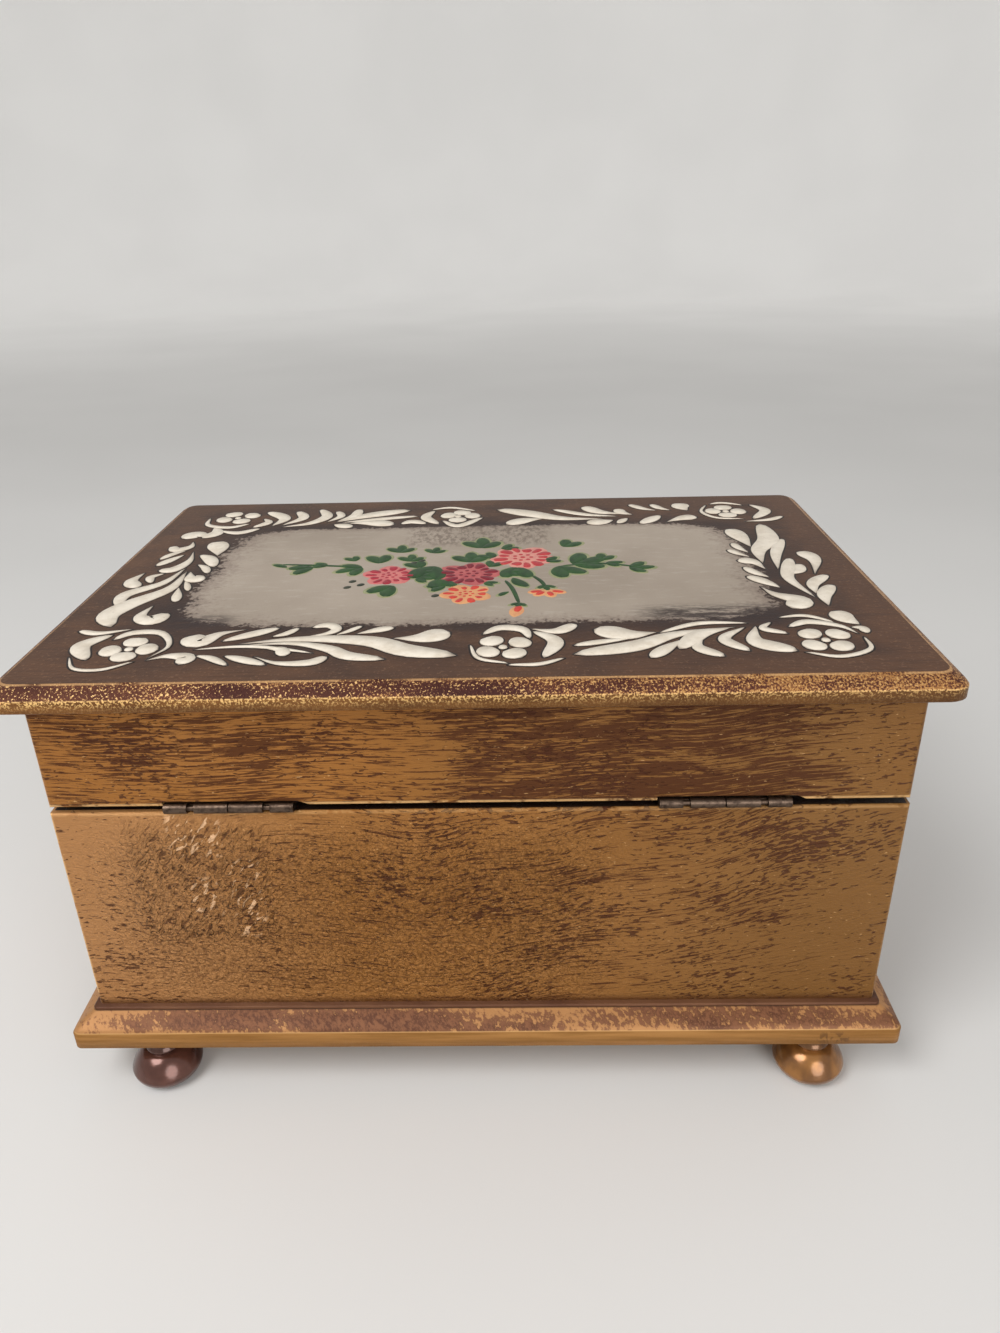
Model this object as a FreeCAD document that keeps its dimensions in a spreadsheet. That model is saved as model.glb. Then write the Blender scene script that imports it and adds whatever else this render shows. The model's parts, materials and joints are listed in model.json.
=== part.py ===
import FreeCAD, Part
import math
import os
import re
import Sketcher

# A lidded musical jewellery box: a wooden case on a moulded base with four bun feet, a lid with a moulded
# top on two butt hinges, lined rooms with ring rolls inside, and an eighteen-note movement under a clear cover.
# Millimetres. Z is up, the floor is at zero, the box opens towards -Y and its hinges are at +Y.

document = FreeCAD.newDocument("jewellery_box")
sheet = document.addObject("Spreadsheet::Sheet", "dims")

# Driving dimensions

SIZES = [
    ("body_width", 230.0, "outside width of the case"),
    ("body_depth", 153.0, "outside depth of the case"),
    ("body_height", 68.0, "height of the case walls"),
    ("panel", 8.0, "thickness of the case and lid walls"),
    ("edge_round", 0.8, "softening of the upright and top edges"),
    ("base_overhang", 7.2, "how far the base stands out from the walls"),
    ("base_band", 5.9, "upright band round the base"),
    ("base_slope", 4.1, "height of the slope over the band"),
    ("base_step", 1.1, "small step between slope and wall"),
    ("base_ledge", 1.7, "ledge between step and wall"),
    ("base_corner", 2.4, "corner radius of the base in plan"),
    ("base_swell", 0.5, "how far the slope swells out in its middle"),
    ("foot_height", 16.0, "floor to the underside of the base"),
    ("foot_radius", 10.7, "widest radius of a bun foot"),
    ("foot_flat", 5.6, "radius of the flat that a foot stands on"),
    ("foot_neck", 4.3, "radius of the collar over the bun"),
    ("neck_height", 5.6, "height of the collar"),
    ("foot_tenon", 3.0, "radius of the tenon that is glued into the base"),
    ("tenon_length", 6.0, "length of the tenon"),
    ("foot_facets", 24, "flat strips round a foot, which stand for its turned surface"),
    ("foot_side_inset", 23.7, "foot centre to the side edge of the base"),
    ("foot_back_inset", 7.5, "foot centre to the front or back edge of the base"),
    ("lid_gap", 1.5, "gap between case and lid"),
    ("rim_height", 32.5, "height of the lid walls"),
    ("rim_round", 1.6, "softening of the lower edge of the lid walls"),
    ("plate_band", 3.5, "upright band round the lid plate"),
    ("plate_slope", 3.5, "height of the slope over the band"),
    ("plate_run", 4.1, "how far the slope runs in"),
    ("plate_swell", 0.6, "how far the slope swells out in its middle"),
    ("plate_overhang", 7.0, "how far the lid plate stands out from the walls"),
    ("plate_corner", 5.0, "corner radius of the lid plate in plan"),
    ("plate_top_corner", 3.5, "corner radius of the flat top of the lid plate"),
    ("hinge_inset", 48.6, "middle of the box to the near end of a hinge"),
    ("knuckle_radius", 1.45, "outer radius of a hinge knuckle"),
    ("knuckle_end", 6.2, "length of an outer knuckle"),
    ("knuckle_mid", 9.0, "length of an inner knuckle"),
    ("knuckle_notch", 2.0, "gap between outer and inner knuckle"),
    ("knuckle_split", 0.4, "gap between the inner knuckles"),
    ("hinge_pin", 0.7, "radius of a hinge pin"),
    ("pin_play", 0.05, "radial clearance round pins and arbors"),
    ("pivot_proud", 0.15, "hinge axis behind the back face"),
    ("pivot_lift", 0.05, "clearance under a knuckle"),
    ("leaf_depth", 7.2, "hinge axis to the hidden edge of a leaf"),
    ("leaf_play", 0.1, "clearance between the closed leaves"),
    ("knuckle_play", 0.25, "clearance of a leaf round the other leaf's knuckle"),
    ("mortise_play", 0.5, "clearance of the lid over the knuckles"),
    ("mortise_inset", 1.1, "clearance of the lid in front of the knuckles"),
    ("mortise_end", 0.5, "clearance at the ends of a hinge"),
    ("mortise_runout", 4.0, "length of the curved saw run-out beside a hinge"),
    ("bumper_size", 6.0, "side of a felt bumper"),
    ("bumper_height", 1.2, "height of a felt bumper"),
    ("bumper_inset", 14.0, "bumper centre to the side of the case"),
    ("lining", 1.2, "thickness of the lining boards"),
    ("lining_drop", 2.0, "top of the lining below the top of the walls"),
    ("divider", 3.0, "thickness of a divider"),
    ("divider_height", 38.0, "height of the dividers"),
    ("floor_pad", 1.5, "thickness of the floor pads"),
    ("pad_play", 0.3, "clearance round pads and rolls"),
    ("front_room", 74.0, "depth of the front rooms"),
    ("front_split", 124.0, "width of the left front room"),
    ("music_room", 62.5, "width of the room for the movement"),
    ("ring_room", 84.0, "width of the room with the ring rolls"),
    ("roll_count", 4, "ring rolls side by side"),
    ("roll_height", 17.0, "height of a ring roll"),
    ("cover_level", 27.0, "floor of the case to the underside of the clear cover"),
    ("cover", 2.0, "thickness of the clear cover"),
    ("cleat", 3.5, "side of the strips that carry the cover"),
    ("lid_board", 1.5, "thickness of the lined board in the lid"),
    ("mirror_width", 164.0, "width of the mirror glass"),
    ("mirror_height", 100.0, "height of the mirror glass"),
    ("mirror", 2.0, "thickness of the mirror glass"),
    ("frame_width", 7.0, "visible width of the mirror frame"),
    ("frame_lip", 1.2, "how far the frame covers the glass"),
    ("frame_lip_height", 1.4, "thickness of the lip over the glass"),
    ("bed_length", 54.0, "length of the bedplate"),
    ("bed_depth", 44.0, "depth of the bedplate"),
    ("bed", 2.4, "thickness of the bedplate"),
    ("bed_corner", 3.0, "corner radius of the bedplate"),
    ("axis_level", 11.0, "bedplate to the axis of the music cylinder"),
    ("axis_shift", 1.0, "cylinder axis behind the middle of the bedplate"),
    ("barrel_shift", 16.5, "key axis beside the middle of the bedplate"),
    ("barrel_radius", 9.3, "radius of the spring barrel"),
    ("gear_module", 0.4, "module of the spur and contrate gears"),
    ("addendum", 0.36, "tooth height over the pitch line"),
    ("dedendum", 0.46, "tooth depth under the pitch line"),
    ("tooth_share", 0.4, "tooth thickness as a share of the pitch"),
    ("tooth_taper", 0.45, "tooth tip width as a share of its thickness"),
    ("contrate_teeth", 40, "teeth on the contrate wheel"),
    ("pinion_teeth", 10, "teeth on the cylinder pinion"),
    ("gear_teeth", 36, "teeth on the cylinder gear"),
    ("leaf_teeth", 9, "teeth on the second pinion"),
    ("wheel_teeth", 20, "teeth on the worm wheel"),
    ("worm_lead", 1.0, "lead of the single worm thread"),
    ("worm_radius", 1.5, "pitch radius of the worm"),
    ("worm_turns", 4, "turns of worm thread"),
    ("worm_steps", 8, "straight steps in a turn of the thread"),
    ("contrate_face", 1.6, "face width of the contrate teeth"),
    ("contrate_disc", 1.0, "thickness of the contrate disc"),
    ("gear_face", 1.2, "face width of the cylinder gear"),
    ("leaf_face", 1.6, "face width of the second pinion"),
    ("wheel_face", 1.0, "face width of the worm wheel"),
    ("cylinder_radius", 6.4, "radius of the music cylinder"),
    ("cylinder_length", 19.0, "length of the music cylinder"),
    ("cylinder_start", 13.7, "far end of the cylinder from the middle of the bedplate"),
    ("track_count", 18, "tracks of pins, one to a comb tooth"),
    ("track_pins", 2, "pins in a track"),
    ("pin_side", 0.4, "side of a cylinder pin"),
    ("pin_reach", 0.5, "height of a cylinder pin"),
    ("cylinder_arbor", 0.8, "radius of the cylinder arbor"),
    ("second_arbor", 0.6, "radius of the second arbor"),
    ("worm_arbor", 0.5, "radius of the worm arbor"),
    ("key_arbor", 2.0, "radius of the key arbor"),
    ("cock", 1.2, "thickness of the bearing plates"),
    ("cock_margin", 1.7, "metal round a bearing hole"),
    ("gear_gap", 0.4, "side clearance between gears and plates"),
    ("comb_gap", 0.1, "clearance between pins and comb tips"),
    ("comb_plate", 2.0, "thickness of the comb's root"),
    ("comb_tooth", 0.6, "thickness of a comb tooth"),
    ("comb_slit", 0.35, "gap between comb teeth"),
    ("treble_tooth", 8.0, "length of the shortest tooth"),
    ("bass_tooth", 11.5, "length of the longest tooth"),
    ("comb_root", 4.0, "depth of the comb's root behind its longest tooth"),
    ("fan_radius", 4.8, "reach of the air brake"),
    ("fan_height", 4.3, "height of the air brake"),
    ("fan_blade", 0.5, "thickness of the air brake"),
    ("fan_hub", 1.0, "radius of the air brake's hub"),
    ("arm_height", 1.1, "thickness of the governor's top arm"),
    ("arm_width", 3.8, "width of the governor's post and arm"),
    ("arm_gap", 0.5, "clearance round the air brake"),
    ("key_hole", 3.5, "radius of the hole for the key in the base"),
    ("key_span", 26.0, "width across the wings of the key"),
    ("key_wing", 8.5, "height of the wings"),
    ("key_blade", 1.8, "thickness of the wings"),
    ("key_hub", 3.2, "radius of the key's hub"),
    ("key_hub_height", 4.0, "height of the hub over the wings"),
    ("key_drop", 1.2, "clearance between the hub and the base"),
    ("wire_radius", 0.6, "radius of the stop wire"),
    ("wire_play", 0.1, "clearance of the stop wire in the wall"),
    ("wire_bend", 2.0, "radius of the bend in the stop wire"),
    ("wire_rise", 4.0, "travel of the stop wire"),
    ("wire_head", 0.3, "stop wire below the lid"),
]

NAMES = re.compile(r"\b(" + "|".join(name for name, _, _ in SIZES) + r")\b")

for row, (name, size, note) in enumerate(SIZES, start=1):
    sheet.set(f"A{row}", note)
    sheet.set(f"B{row}", str(size))
    sheet.setAlias(f"B{row}", name)
document.recompute()


# Tools that tie a shape to the sheet

def tie(text):
    """The expression with each size's name pointing at the sheet."""
    return NAMES.sub(r"dims.\1", str(text))


def worth(text):
    """The number that an expression gives now."""
    return float(sheet.evalExpression(tie(text)))


def piece(label, x="0", y="0", z="0", turn=None):
    """An empty body at a place, turned about an axis by an angle in degrees."""
    body = document.addObject("PartDesign::Body", label)
    body.Label = label
    if turn:
        axis, angle = turn
        body.Placement = FreeCAD.Placement(FreeCAD.Vector(), FreeCAD.Rotation(FreeCAD.Vector(*axis), 1))
        body.setExpression(".Placement.Rotation.Angle", tie(angle))
    for letter, text in zip("xyz", (x, y, z)):
        body.setExpression(f".Placement.Base.{letter}", tie(text))
    return body


def sketch(body, plane, lift="0"):
    """An empty sketch on one of the body's own planes, lifted along its normal."""
    new = body.newObject("Sketcher::SketchObject", "sketch")
    flat = [item for item in body.Origin.OriginFeatures if item.Role == plane + "_Plane"][0]
    new.AttachmentSupport = [(flat, "")]
    new.MapMode = "FlatFace"
    new.setExpression(".AttachmentOffset.Base.z", tie(lift))
    return new


def pin_point(drawing, line, end, x, y):
    """Hold one end of a line at a tied place."""
    for kind, text in (("DistanceX", x), ("DistanceY", y)):
        held = drawing.addConstraint(Sketcher.Constraint(kind, -1, 1, line, end, worth(text)))
        drawing.setExpression(f"Constraints[{held}]", tie(text))


def outline(body, plane, corners, lift="0", closed=True):
    """A sketch through tied corners. A corner with a third value is rounded to that radius."""
    drawing = sketch(body, plane, lift)
    count = len(corners)
    spots = [FreeCAD.Vector(worth(corner[0]), worth(corner[1]), 0) for corner in corners]
    runs = []
    for index, corner in enumerate(corners):
        if len(corner) == 2:
            runs.append([(corner[0], corner[1])])
            continue
        ends = []
        for other in (spots[index - 1], spots[(index + 1) % count]):
            way = (other - spots[index]).normalize()
            ends.append((f"({corner[0]}) + ({corner[2]}) * {way.x:.9f}",
                         f"({corner[1]}) + ({corner[2]}) * {way.y:.9f}"))
        runs.append(ends)
    last = count if closed else count - 1
    for index in range(last):
        start, end = runs[index][-1], runs[(index + 1) % count][0]
        places = [FreeCAD.Vector(worth(x), worth(y), 0) for x, y in (start, end)]
        line = drawing.addGeometry(Part.LineSegment(*places), False)
        pin_point(drawing, line, 1, *start)
        pin_point(drawing, line, 2, *end)
    for index, ends in enumerate(runs):
        if len(ends) == 1:
            continue
        first, second = [FreeCAD.Vector(worth(x), worth(y), 0) for x, y in ends]
        radius = worth(corners[index][2])
        centre = first + second - spots[index]
        middle = centre + (spots[index] - centre).normalize() * radius
        arc = drawing.addGeometry(Part.Arc(first, middle, second), False)
        before, after = (index - 1) % count, index
        drawn = drawing.Geometry[arc]
        order = (1, 2) if drawn.StartPoint.distanceToPoint(first) < drawn.EndPoint.distanceToPoint(first) else (2, 1)
        drawing.addConstraint(Sketcher.Constraint("Coincident", arc, order[0], before, 2))
        drawing.addConstraint(Sketcher.Constraint("Coincident", arc, order[1], after, 1))
        held = drawing.addConstraint(Sketcher.Constraint("Radius", arc, radius))
        drawing.setExpression(f"Constraints[{held}]", tie(corners[index][2]))
    return drawing


def ring(body, plane, radius, x="0", y="0", lift="0"):
    """A sketch of one circle."""
    drawing = sketch(body, plane, lift)
    centre = FreeCAD.Vector(worth(x), worth(y), 0)
    circle = drawing.addGeometry(Part.Circle(centre, FreeCAD.Vector(0, 0, 1), worth(radius)), False)
    pin_point(drawing, circle, 3, x, y)
    held = drawing.addConstraint(Sketcher.Constraint("Radius", circle, worth(radius)))
    drawing.setExpression(f"Constraints[{held}]", tie(radius))
    return drawing


def feature(body, kind, profile=None, **values):
    """A feature on the body with its lengths and angles tied to the sheet."""
    new = body.newObject("PartDesign::" + kind, kind.lower())
    if profile:
        new.Profile = profile
    for name, text in values.items():
        new.setExpression(name, tie(text))
    return new


def pad(body, profile, length):
    """Raise a sketch along its normal."""
    return feature(body, "Pad", profile, Length=length)


def cut(body, profile, length, forward=True):
    """Sink a sketch into the body, along its normal or against it, and make sure that it cuts."""
    document.recompute()
    before = body.Tip.Shape.Volume
    new = feature(body, "Pocket", profile, Length=length)
    new.Reversed = forward
    document.recompute()
    if not new.Shape.Volume < before:
        raise ValueError(body.Label + " has a cut that removes nothing")
    return new


def turned(body, corners):
    """A solid of revolution about Z, from corners given as radius and height."""
    profile = outline(body, "XZ", corners)
    new = feature(body, "Revolution", profile)
    new.ReferenceAxis = (profile, ["V_Axis"])
    new.Angle = 360
    return new


def circled(body, item, plane, count):
    """Repeat a feature round the axis that is square to a plane."""
    axis = {"XY": "Z", "YZ": "X"}[plane]
    new = feature(body, "PolarPattern", Occurrences=count)
    new.Originals = [item]
    new.Axis = ([part for part in body.Origin.OriginFeatures if part.Role == axis + "_Axis"][0], [""])
    new.Angle = 360
    body.Tip = new
    return new


def edges_at(body, *tests):
    """Names of the edges whose ends and middle all pass one of the tests, each a dict of axis to place."""
    document.recompute()
    names = []
    for number, edge in enumerate(body.Tip.Shape.Edges, start=1):
        middle = edge.valueAt((edge.FirstParameter + edge.LastParameter) / 2)
        points = [vertex.Point for vertex in edge.Vertexes] + [middle]
        for test in tests:
            places = {axis: worth(text) for axis, text in test.items()}
            if all(abs(getattr(point, axis) - place) < 1e-4 for point in points for axis, place in places.items()):
                names.append(f"Edge{number}")
    if not names:
        raise ValueError(body.Label + " has no edge there")
    return names


def soften(body, radius, *tests):
    """Round the edges that pass the tests."""
    names = edges_at(body, *tests)
    base = body.Tip
    new = feature(body, "Fillet", Radius=radius)
    new.Base = (base, names)
    return new


def bevel(body, size, *tests):
    """Bevel the edges that pass the tests."""
    names = edges_at(body, *tests)
    base = body.Tip
    new = feature(body, "Chamfer", Size=size)
    new.Base = (base, names)
    return new


def board(label, x, y, z):
    """A rectangular board from its two ends along each axis, in a body that starts at its lowest corner."""
    body = piece(label, x[0], y[0], z[0])
    wide, deep, high = (f"({end}) - ({start})" for start, end in (x, y, z))
    pad(body, outline(body, "XY", [("0", "0"), (wide, "0"), (wide, deep), ("0", deep)]), high)
    return body


def plan(half_x, half_y, corner):
    """The corners of a centred rectangle in plan, rounded."""
    return [(f"{sx}({half_x})", f"{sy}({half_y})", corner) for sx, sy in (("-", "-"), ("", "-"), ("", ""), ("-", ""))]


def moulded(body, half_x, half_y, rows):
    """A plate that rises through rows of height, inset and corner radius, by an upright band and then slopes."""
    sections = [outline(body, "XY", plan(f"({half_x}) - ({inset})", f"({half_y}) - ({inset})", corner), level)
                for level, inset, corner in rows]
    pad(body, sections[0], rows[1][0])
    for lower, upper in zip(sections[1:], sections[2:]):
        slope = feature(body, "AdditiveLoft", lower)
        slope.Sections = [upper]
        slope.Ruled = True


# Levels and lines that several pieces share

half_width = "(body_width / 2)"
half_depth = "(body_depth / 2)"
inside_x = f"({half_width} - panel)"
inside_y = f"({half_depth} - panel)"
lined_x = f"({inside_x} - lining)"
lined_y = f"({inside_y} - lining)"
base_top = "(foot_height + base_band + base_slope + base_step)"
body_top = f"({base_top} + body_height)"
rim_bottom = f"({body_top} + lid_gap)"
rim_top = f"({rim_bottom} + rim_height)"
divider_top = f"({base_top} + divider_height)"
lining_top = f"({body_top} - lining_drop)"
pivot_y = f"({half_depth} + pivot_proud)"
pivot_z = f"({body_top} + knuckle_radius + pivot_lift)"
hinge_length = "(2 * knuckle_end + 2 * knuckle_mid + 2 * knuckle_notch + knuckle_split)"
row_y = f"(-{lined_y} + front_room)"
back_y = f"({row_y} + divider)"
music_end = f"(-{lined_x} + music_room)"
ring_start = f"({music_end} + divider)"
ring_end = f"({ring_start} + ring_room)"
cover_bottom = f"({base_top} + cover_level)"

# The movement's own lines: its middle, its bedplate and its four axes

move_x = f"((-{lined_x} + {music_end}) / 2)"
move_y = f"(({back_y} + {lined_y}) / 2)"
bed_top = f"({base_top} + bed)"
axis_z = f"({bed_top} + axis_level)"
axis_y = f"({move_y} + axis_shift)"
key_x = f"({move_x} + barrel_shift)"
contrate_radius = "(gear_module * contrate_teeth / 2)"
pinion_radius = "(gear_module * pinion_teeth / 2)"
gear_radius = "(gear_module * gear_teeth / 2)"
leaf_radius = "(gear_module * leaf_teeth / 2)"
wheel_radius = "(worm_lead * wheel_teeth / (2 * pi))"
pitch = "(gear_module * pi)"
second_y = f"({axis_y} + {gear_radius} + {leaf_radius})"
worm_y = f"({second_y} + {wheel_radius} + worm_radius)"
cylinder_x = f"({move_x} - cylinder_start)"
gear_x = f"({cylinder_x} - gear_gap - gear_face)"
leaf_x = f"({gear_x} + gear_face / 2 - leaf_face / 2)"
wheel_x = f"({gear_x} - wheel_face - 4 * gear_gap)"
worm_x = f"({wheel_x} + wheel_face / 2)"
outer_cock_x = f"({wheel_x} - cock - 4 * gear_gap)"
inner_cock_x = f"({cylinder_x} + cylinder_length + gear_gap)"
pinion_x = f"({key_x} - {contrate_radius} - contrate_face / 2)"
barrel_top = f"({axis_z} - {pinion_radius} - dedendum - contrate_disc - gear_gap)"
fan_z = f"({axis_z} + {wheel_radius} + addendum + gear_gap + 0.4)"
arm_z = f"({fan_z} + fan_height + arm_gap)"
tip_y = f"({axis_y} - cylinder_radius - pin_reach - comb_gap)"
wire_x = f"({worm_x} - fan_radius - arm_gap - wire_radius)"
wire_y = f"({half_depth} - panel / 2)"
wire_z = f"({fan_z} + fan_height / 2)"


# The wooden case

def make_base():
    body = piece("base_plate", z="foot_height")
    half_x = f"({half_width} + base_overhang)"
    half_y = f"({half_depth} + base_overhang)"
    run = "(base_overhang - base_ledge)"
    moulded(body, half_x, half_y, [
        ("0", "0", "base_corner"),
        ("base_band", "0", "base_corner"),
        ("base_band + base_slope / 2", f"{run} / 2 - base_swell", "base_corner * 0.8"),
        ("base_band + base_slope", run, "base_corner * 0.6"),
    ])
    step = outline(body, "XY", plan(f"{half_x} - {run}", f"{half_y} - {run}", "base_corner * 0.6"),
                   "base_band + base_slope")
    pad(body, step, "base_step")
    for side_x in ("-", ""):
        for side_y in ("-", ""):
            hole = ring(body, "XY", "foot_tenon", f"{side_x}({half_x} - foot_side_inset)",
                        f"{side_y}({half_y} - foot_back_inset)")
            cut(body, hole, "tenon_length")
    cut(body, ring(body, "XY", "key_hole", key_x, axis_y), "base_band + base_slope + base_step")
    return body


def make_foot(label, side_x, side_y):
    """A turned bun foot with its collar and tenon, its round surface made of flat strips to keep it light."""
    bands = 5
    radius, flat, neck = worth("foot_radius"), worth("foot_flat"), worth("foot_neck")
    bun = worth("foot_height - neck_height")
    height, tenon = worth("foot_height"), worth("foot_tenon")
    profile = []
    for step in range(bands + 1):
        angle = math.pi * (step / bands - 0.5)
        profile.append((flat + (radius - flat) * math.cos(angle), bun / 2 * (1 + math.sin(angle))))
    profile += [(neck, bun + 0.8), (neck, height - 1.2), (neck + 0.8, height)]
    profile += [(tenon, height), (tenon, height + worth("tenon_length"))]
    sides = int(worth("foot_facets"))
    rings = []
    for reach, level in profile:
        spots = [2 * math.pi * side / sides for side in range(sides + 1)]
        rings.append([FreeCAD.Vector(reach * math.cos(spot), reach * math.sin(spot), level) for spot in spots])
    faces = [Part.Face(Part.makePolygon(rings[0])), Part.Face(Part.makePolygon(rings[-1]))]
    for lower, upper in zip(rings, rings[1:]):
        for side in range(sides):
            strip = [lower[side], lower[side + 1], upper[side + 1], upper[side], lower[side]]
            faces.append(Part.Face(Part.makePolygon(strip)))
    new = document.addObject("Part::Feature", label)
    new.Label = label
    new.Shape = Part.makeSolid(Part.makeShell(faces)).removeSplitter()
    new.setExpression(".Placement.Base.x", tie(f"{side_x}({half_width} + base_overhang - foot_side_inset)"))
    new.setExpression(".Placement.Base.y", tie(f"{side_y}({half_depth} + base_overhang - foot_back_inset)"))
    return new


def make_case():
    across = (f"-{half_width}", half_width)
    upright = (base_top, body_top)
    front = board("front_panel", across, (f"-{half_depth}", f"-{inside_y}"), upright)
    back = board("back_panel", across, (inside_y, half_depth), upright)
    left = board("left_panel", (f"-{half_width}", f"-{inside_x}"), (f"-{inside_y}", inside_y), upright)
    right = board("right_panel", (inside_x, half_width), (f"-{inside_y}", inside_y), upright)
    soften(front, "edge_round", {"x": "0", "y": "0"}, {"x": "body_width", "y": "0"}, {"y": "0", "z": "body_height"})
    soften(back, "edge_round", {"x": "0", "y": "panel"}, {"x": "body_width", "y": "panel"},
           {"y": "panel", "z": "body_height"})
    soften(left, "edge_round", {"x": "0", "z": "body_height"})
    soften(right, "edge_round", {"x": "panel", "z": "body_height"})
    drill_for_wire(back)
    return [front, back, left, right]


def drill_for_wire(back):
    """The upright hole for the stop wire, and the slot that lets its foot out into the case."""
    x = f"{wire_x} + {half_width}"
    y = f"{wire_y} - {inside_y}"
    low = f"({wire_z} - {base_top} - wire_radius - wire_play)"
    hole = ring(back, "XY", "wire_radius + wire_play", x, y, low)
    cut(back, hole, f"body_height - {low}")
    slot = outline(back, "XZ", wire_slot(x, low), f"-({y})")
    cut(back, slot, y)


def wire_slot(x, low):
    """The corners of the slot for the travel of the wire's foot."""
    half = "(wire_radius + wire_play)"
    high = f"({low} + 2 * {half} + wire_rise + wire_bend)"
    return [(f"{x} - {half}", low), (f"{x} + {half}", low), (f"{x} + {half}", high), (f"{x} - {half}", high)]


def make_lining():
    upright = (base_top, lining_top)
    back = board("lining_back", (f"-{inside_x}", inside_x), (lined_y, inside_y), upright)
    slot = outline(back, "XZ", wire_slot(f"{wire_x} + {inside_x}",
                                         f"({wire_z} - {base_top} - wire_radius - wire_play)"), "-lining")
    cut(back, slot, "lining")
    return [
        back,
        board("lining_front", (f"-{inside_x}", inside_x), (f"-{inside_y}", f"-{lined_y}"), upright),
        board("lining_left", (f"-{inside_x}", f"-{lined_x}"), (f"-{lined_y}", lined_y), upright),
        board("lining_right", (lined_x, inside_x), (f"-{lined_y}", lined_y), upright),
    ]


def make_dividers():
    upright = (base_top, divider_top)
    split = f"(-{lined_x} + front_split)"
    return [
        board("divider_long", (f"-{lined_x}", lined_x), (row_y, back_y), upright),
        board("divider_front", (split, f"{split} + divider"), (f"-{lined_y}", row_y), upright),
        board("divider_music", (music_end, ring_start), (back_y, lined_y), upright),
        board("divider_ring", (ring_end, f"{ring_end} + divider"), (back_y, lined_y), upright),
    ]


def make_floor_pads():
    split = f"(-{lined_x} + front_split)"
    rooms = [
        ("floor_pad_left", (f"-{lined_x}", split), (f"-{lined_y}", row_y)),
        ("floor_pad_right", (f"{split} + divider", lined_x), (f"-{lined_y}", row_y)),
        ("floor_pad_square", (f"{ring_end} + divider", lined_x), (back_y, lined_y)),
    ]
    pads = []
    for label, x, y in rooms:
        inner = [(f"{start} + pad_play", f"{end} - pad_play") for start, end in (x, y)]
        new = board(label, *inner, (base_top, f"{base_top} + floor_pad"))
        soften(new, "floor_pad * 0.4", {"z": "floor_pad"})
        pads.append(new)
    return pads


def make_ring_rolls():
    rolls = []
    room = f"({lined_y} - {back_y})"
    width = f"(({room} - (roll_count + 1) * pad_play) / roll_count)"
    length = "(ring_room - 2 * pad_play)"
    for number in range(int(worth("roll_count"))):
        start = f"{back_y} + pad_play + {number} * ({width} + pad_play)"
        body = piece(f"ring_roll_{number + 1}", f"{ring_start} + pad_play", start, base_top)
        crown = f"({width} * 0.42)"
        profile = outline(body, "YZ", [("0", "0"), (width, "0"), (width, "roll_height", crown),
                                       ("0", "roll_height", crown)])
        pad(body, profile, length)
        rolls.append(body)
    return rolls


def make_cover():
    y = (f"{back_y} + pad_play", f"{lined_y} - pad_play")
    level = (f"{cover_bottom} - cleat", cover_bottom)
    plate = board("clear_cover", (f"-{lined_x} + pad_play", f"{music_end} - pad_play"), y,
                  (cover_bottom, f"{cover_bottom} + cover"))
    soften(plate, "cover * 0.2", {"z": "cover"})
    return [
        plate,
        board("cleat_left", (f"-{lined_x}", f"-{lined_x} + cleat"), y, level),
        board("cleat_right", (f"{music_end} - cleat", music_end), y, level),
    ]


def make_bumpers():
    bumpers = []
    for name, side in (("left", "-"), ("right", "")):
        x = f"{side}({half_width} - bumper_inset)"
        y = f"(-{half_depth} + panel / 2)"
        bumpers.append(board(f"bumper_{name}", (f"{x} - bumper_size / 2", f"{x} + bumper_size / 2"),
                             (f"{y} - bumper_size / 2", f"{y} + bumper_size / 2"),
                             (body_top, f"{body_top} + bumper_height")))
    return bumpers


# The lid

def make_lid_plate():
    body = piece("lid_plate", z=rim_top)
    moulded(body, f"({half_width} + plate_overhang)", f"({half_depth} + plate_overhang)", [
        ("0", "0", "plate_corner"),
        ("plate_band", "0", "plate_corner"),
        ("plate_band + plate_slope / 2", "plate_run / 2 - plate_swell", "plate_corner - 0.5"),
        ("plate_band + plate_slope", "plate_run", "plate_top_corner"),
    ])
    return body


def make_rim():
    across = (f"-{half_width}", half_width)
    upright = (rim_bottom, rim_top)
    front = board("rim_front", across, (f"-{half_depth}", f"-{inside_y}"), upright)
    back = board("rim_back", across, (inside_y, half_depth), upright)
    left = board("rim_left", (f"-{half_width}", f"-{inside_x}"), (f"-{inside_y}", inside_y), upright)
    right = board("rim_right", (inside_x, half_width), (f"-{inside_y}", inside_y), upright)
    soften(front, "rim_round", {"x": "0", "y": "0"}, {"x": "body_width", "y": "0"}, {"y": "0", "z": "0"})
    soften(back, "rim_round", {"x": "0", "y": "panel"}, {"x": "body_width", "y": "panel"}, {"y": "panel", "z": "0"})
    soften(left, "rim_round", {"x": "0", "z": "0"})
    soften(right, "rim_round", {"x": "panel", "z": "0"})
    for side in ("", "-"):
        cut_mortise(back, side)
    return [front, back, left, right]


def hinge_start(side):
    """The end of a hinge that is nearer to -X."""
    return "hinge_inset" if side == "" else f"(-hinge_inset - {hinge_length})"


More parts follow.
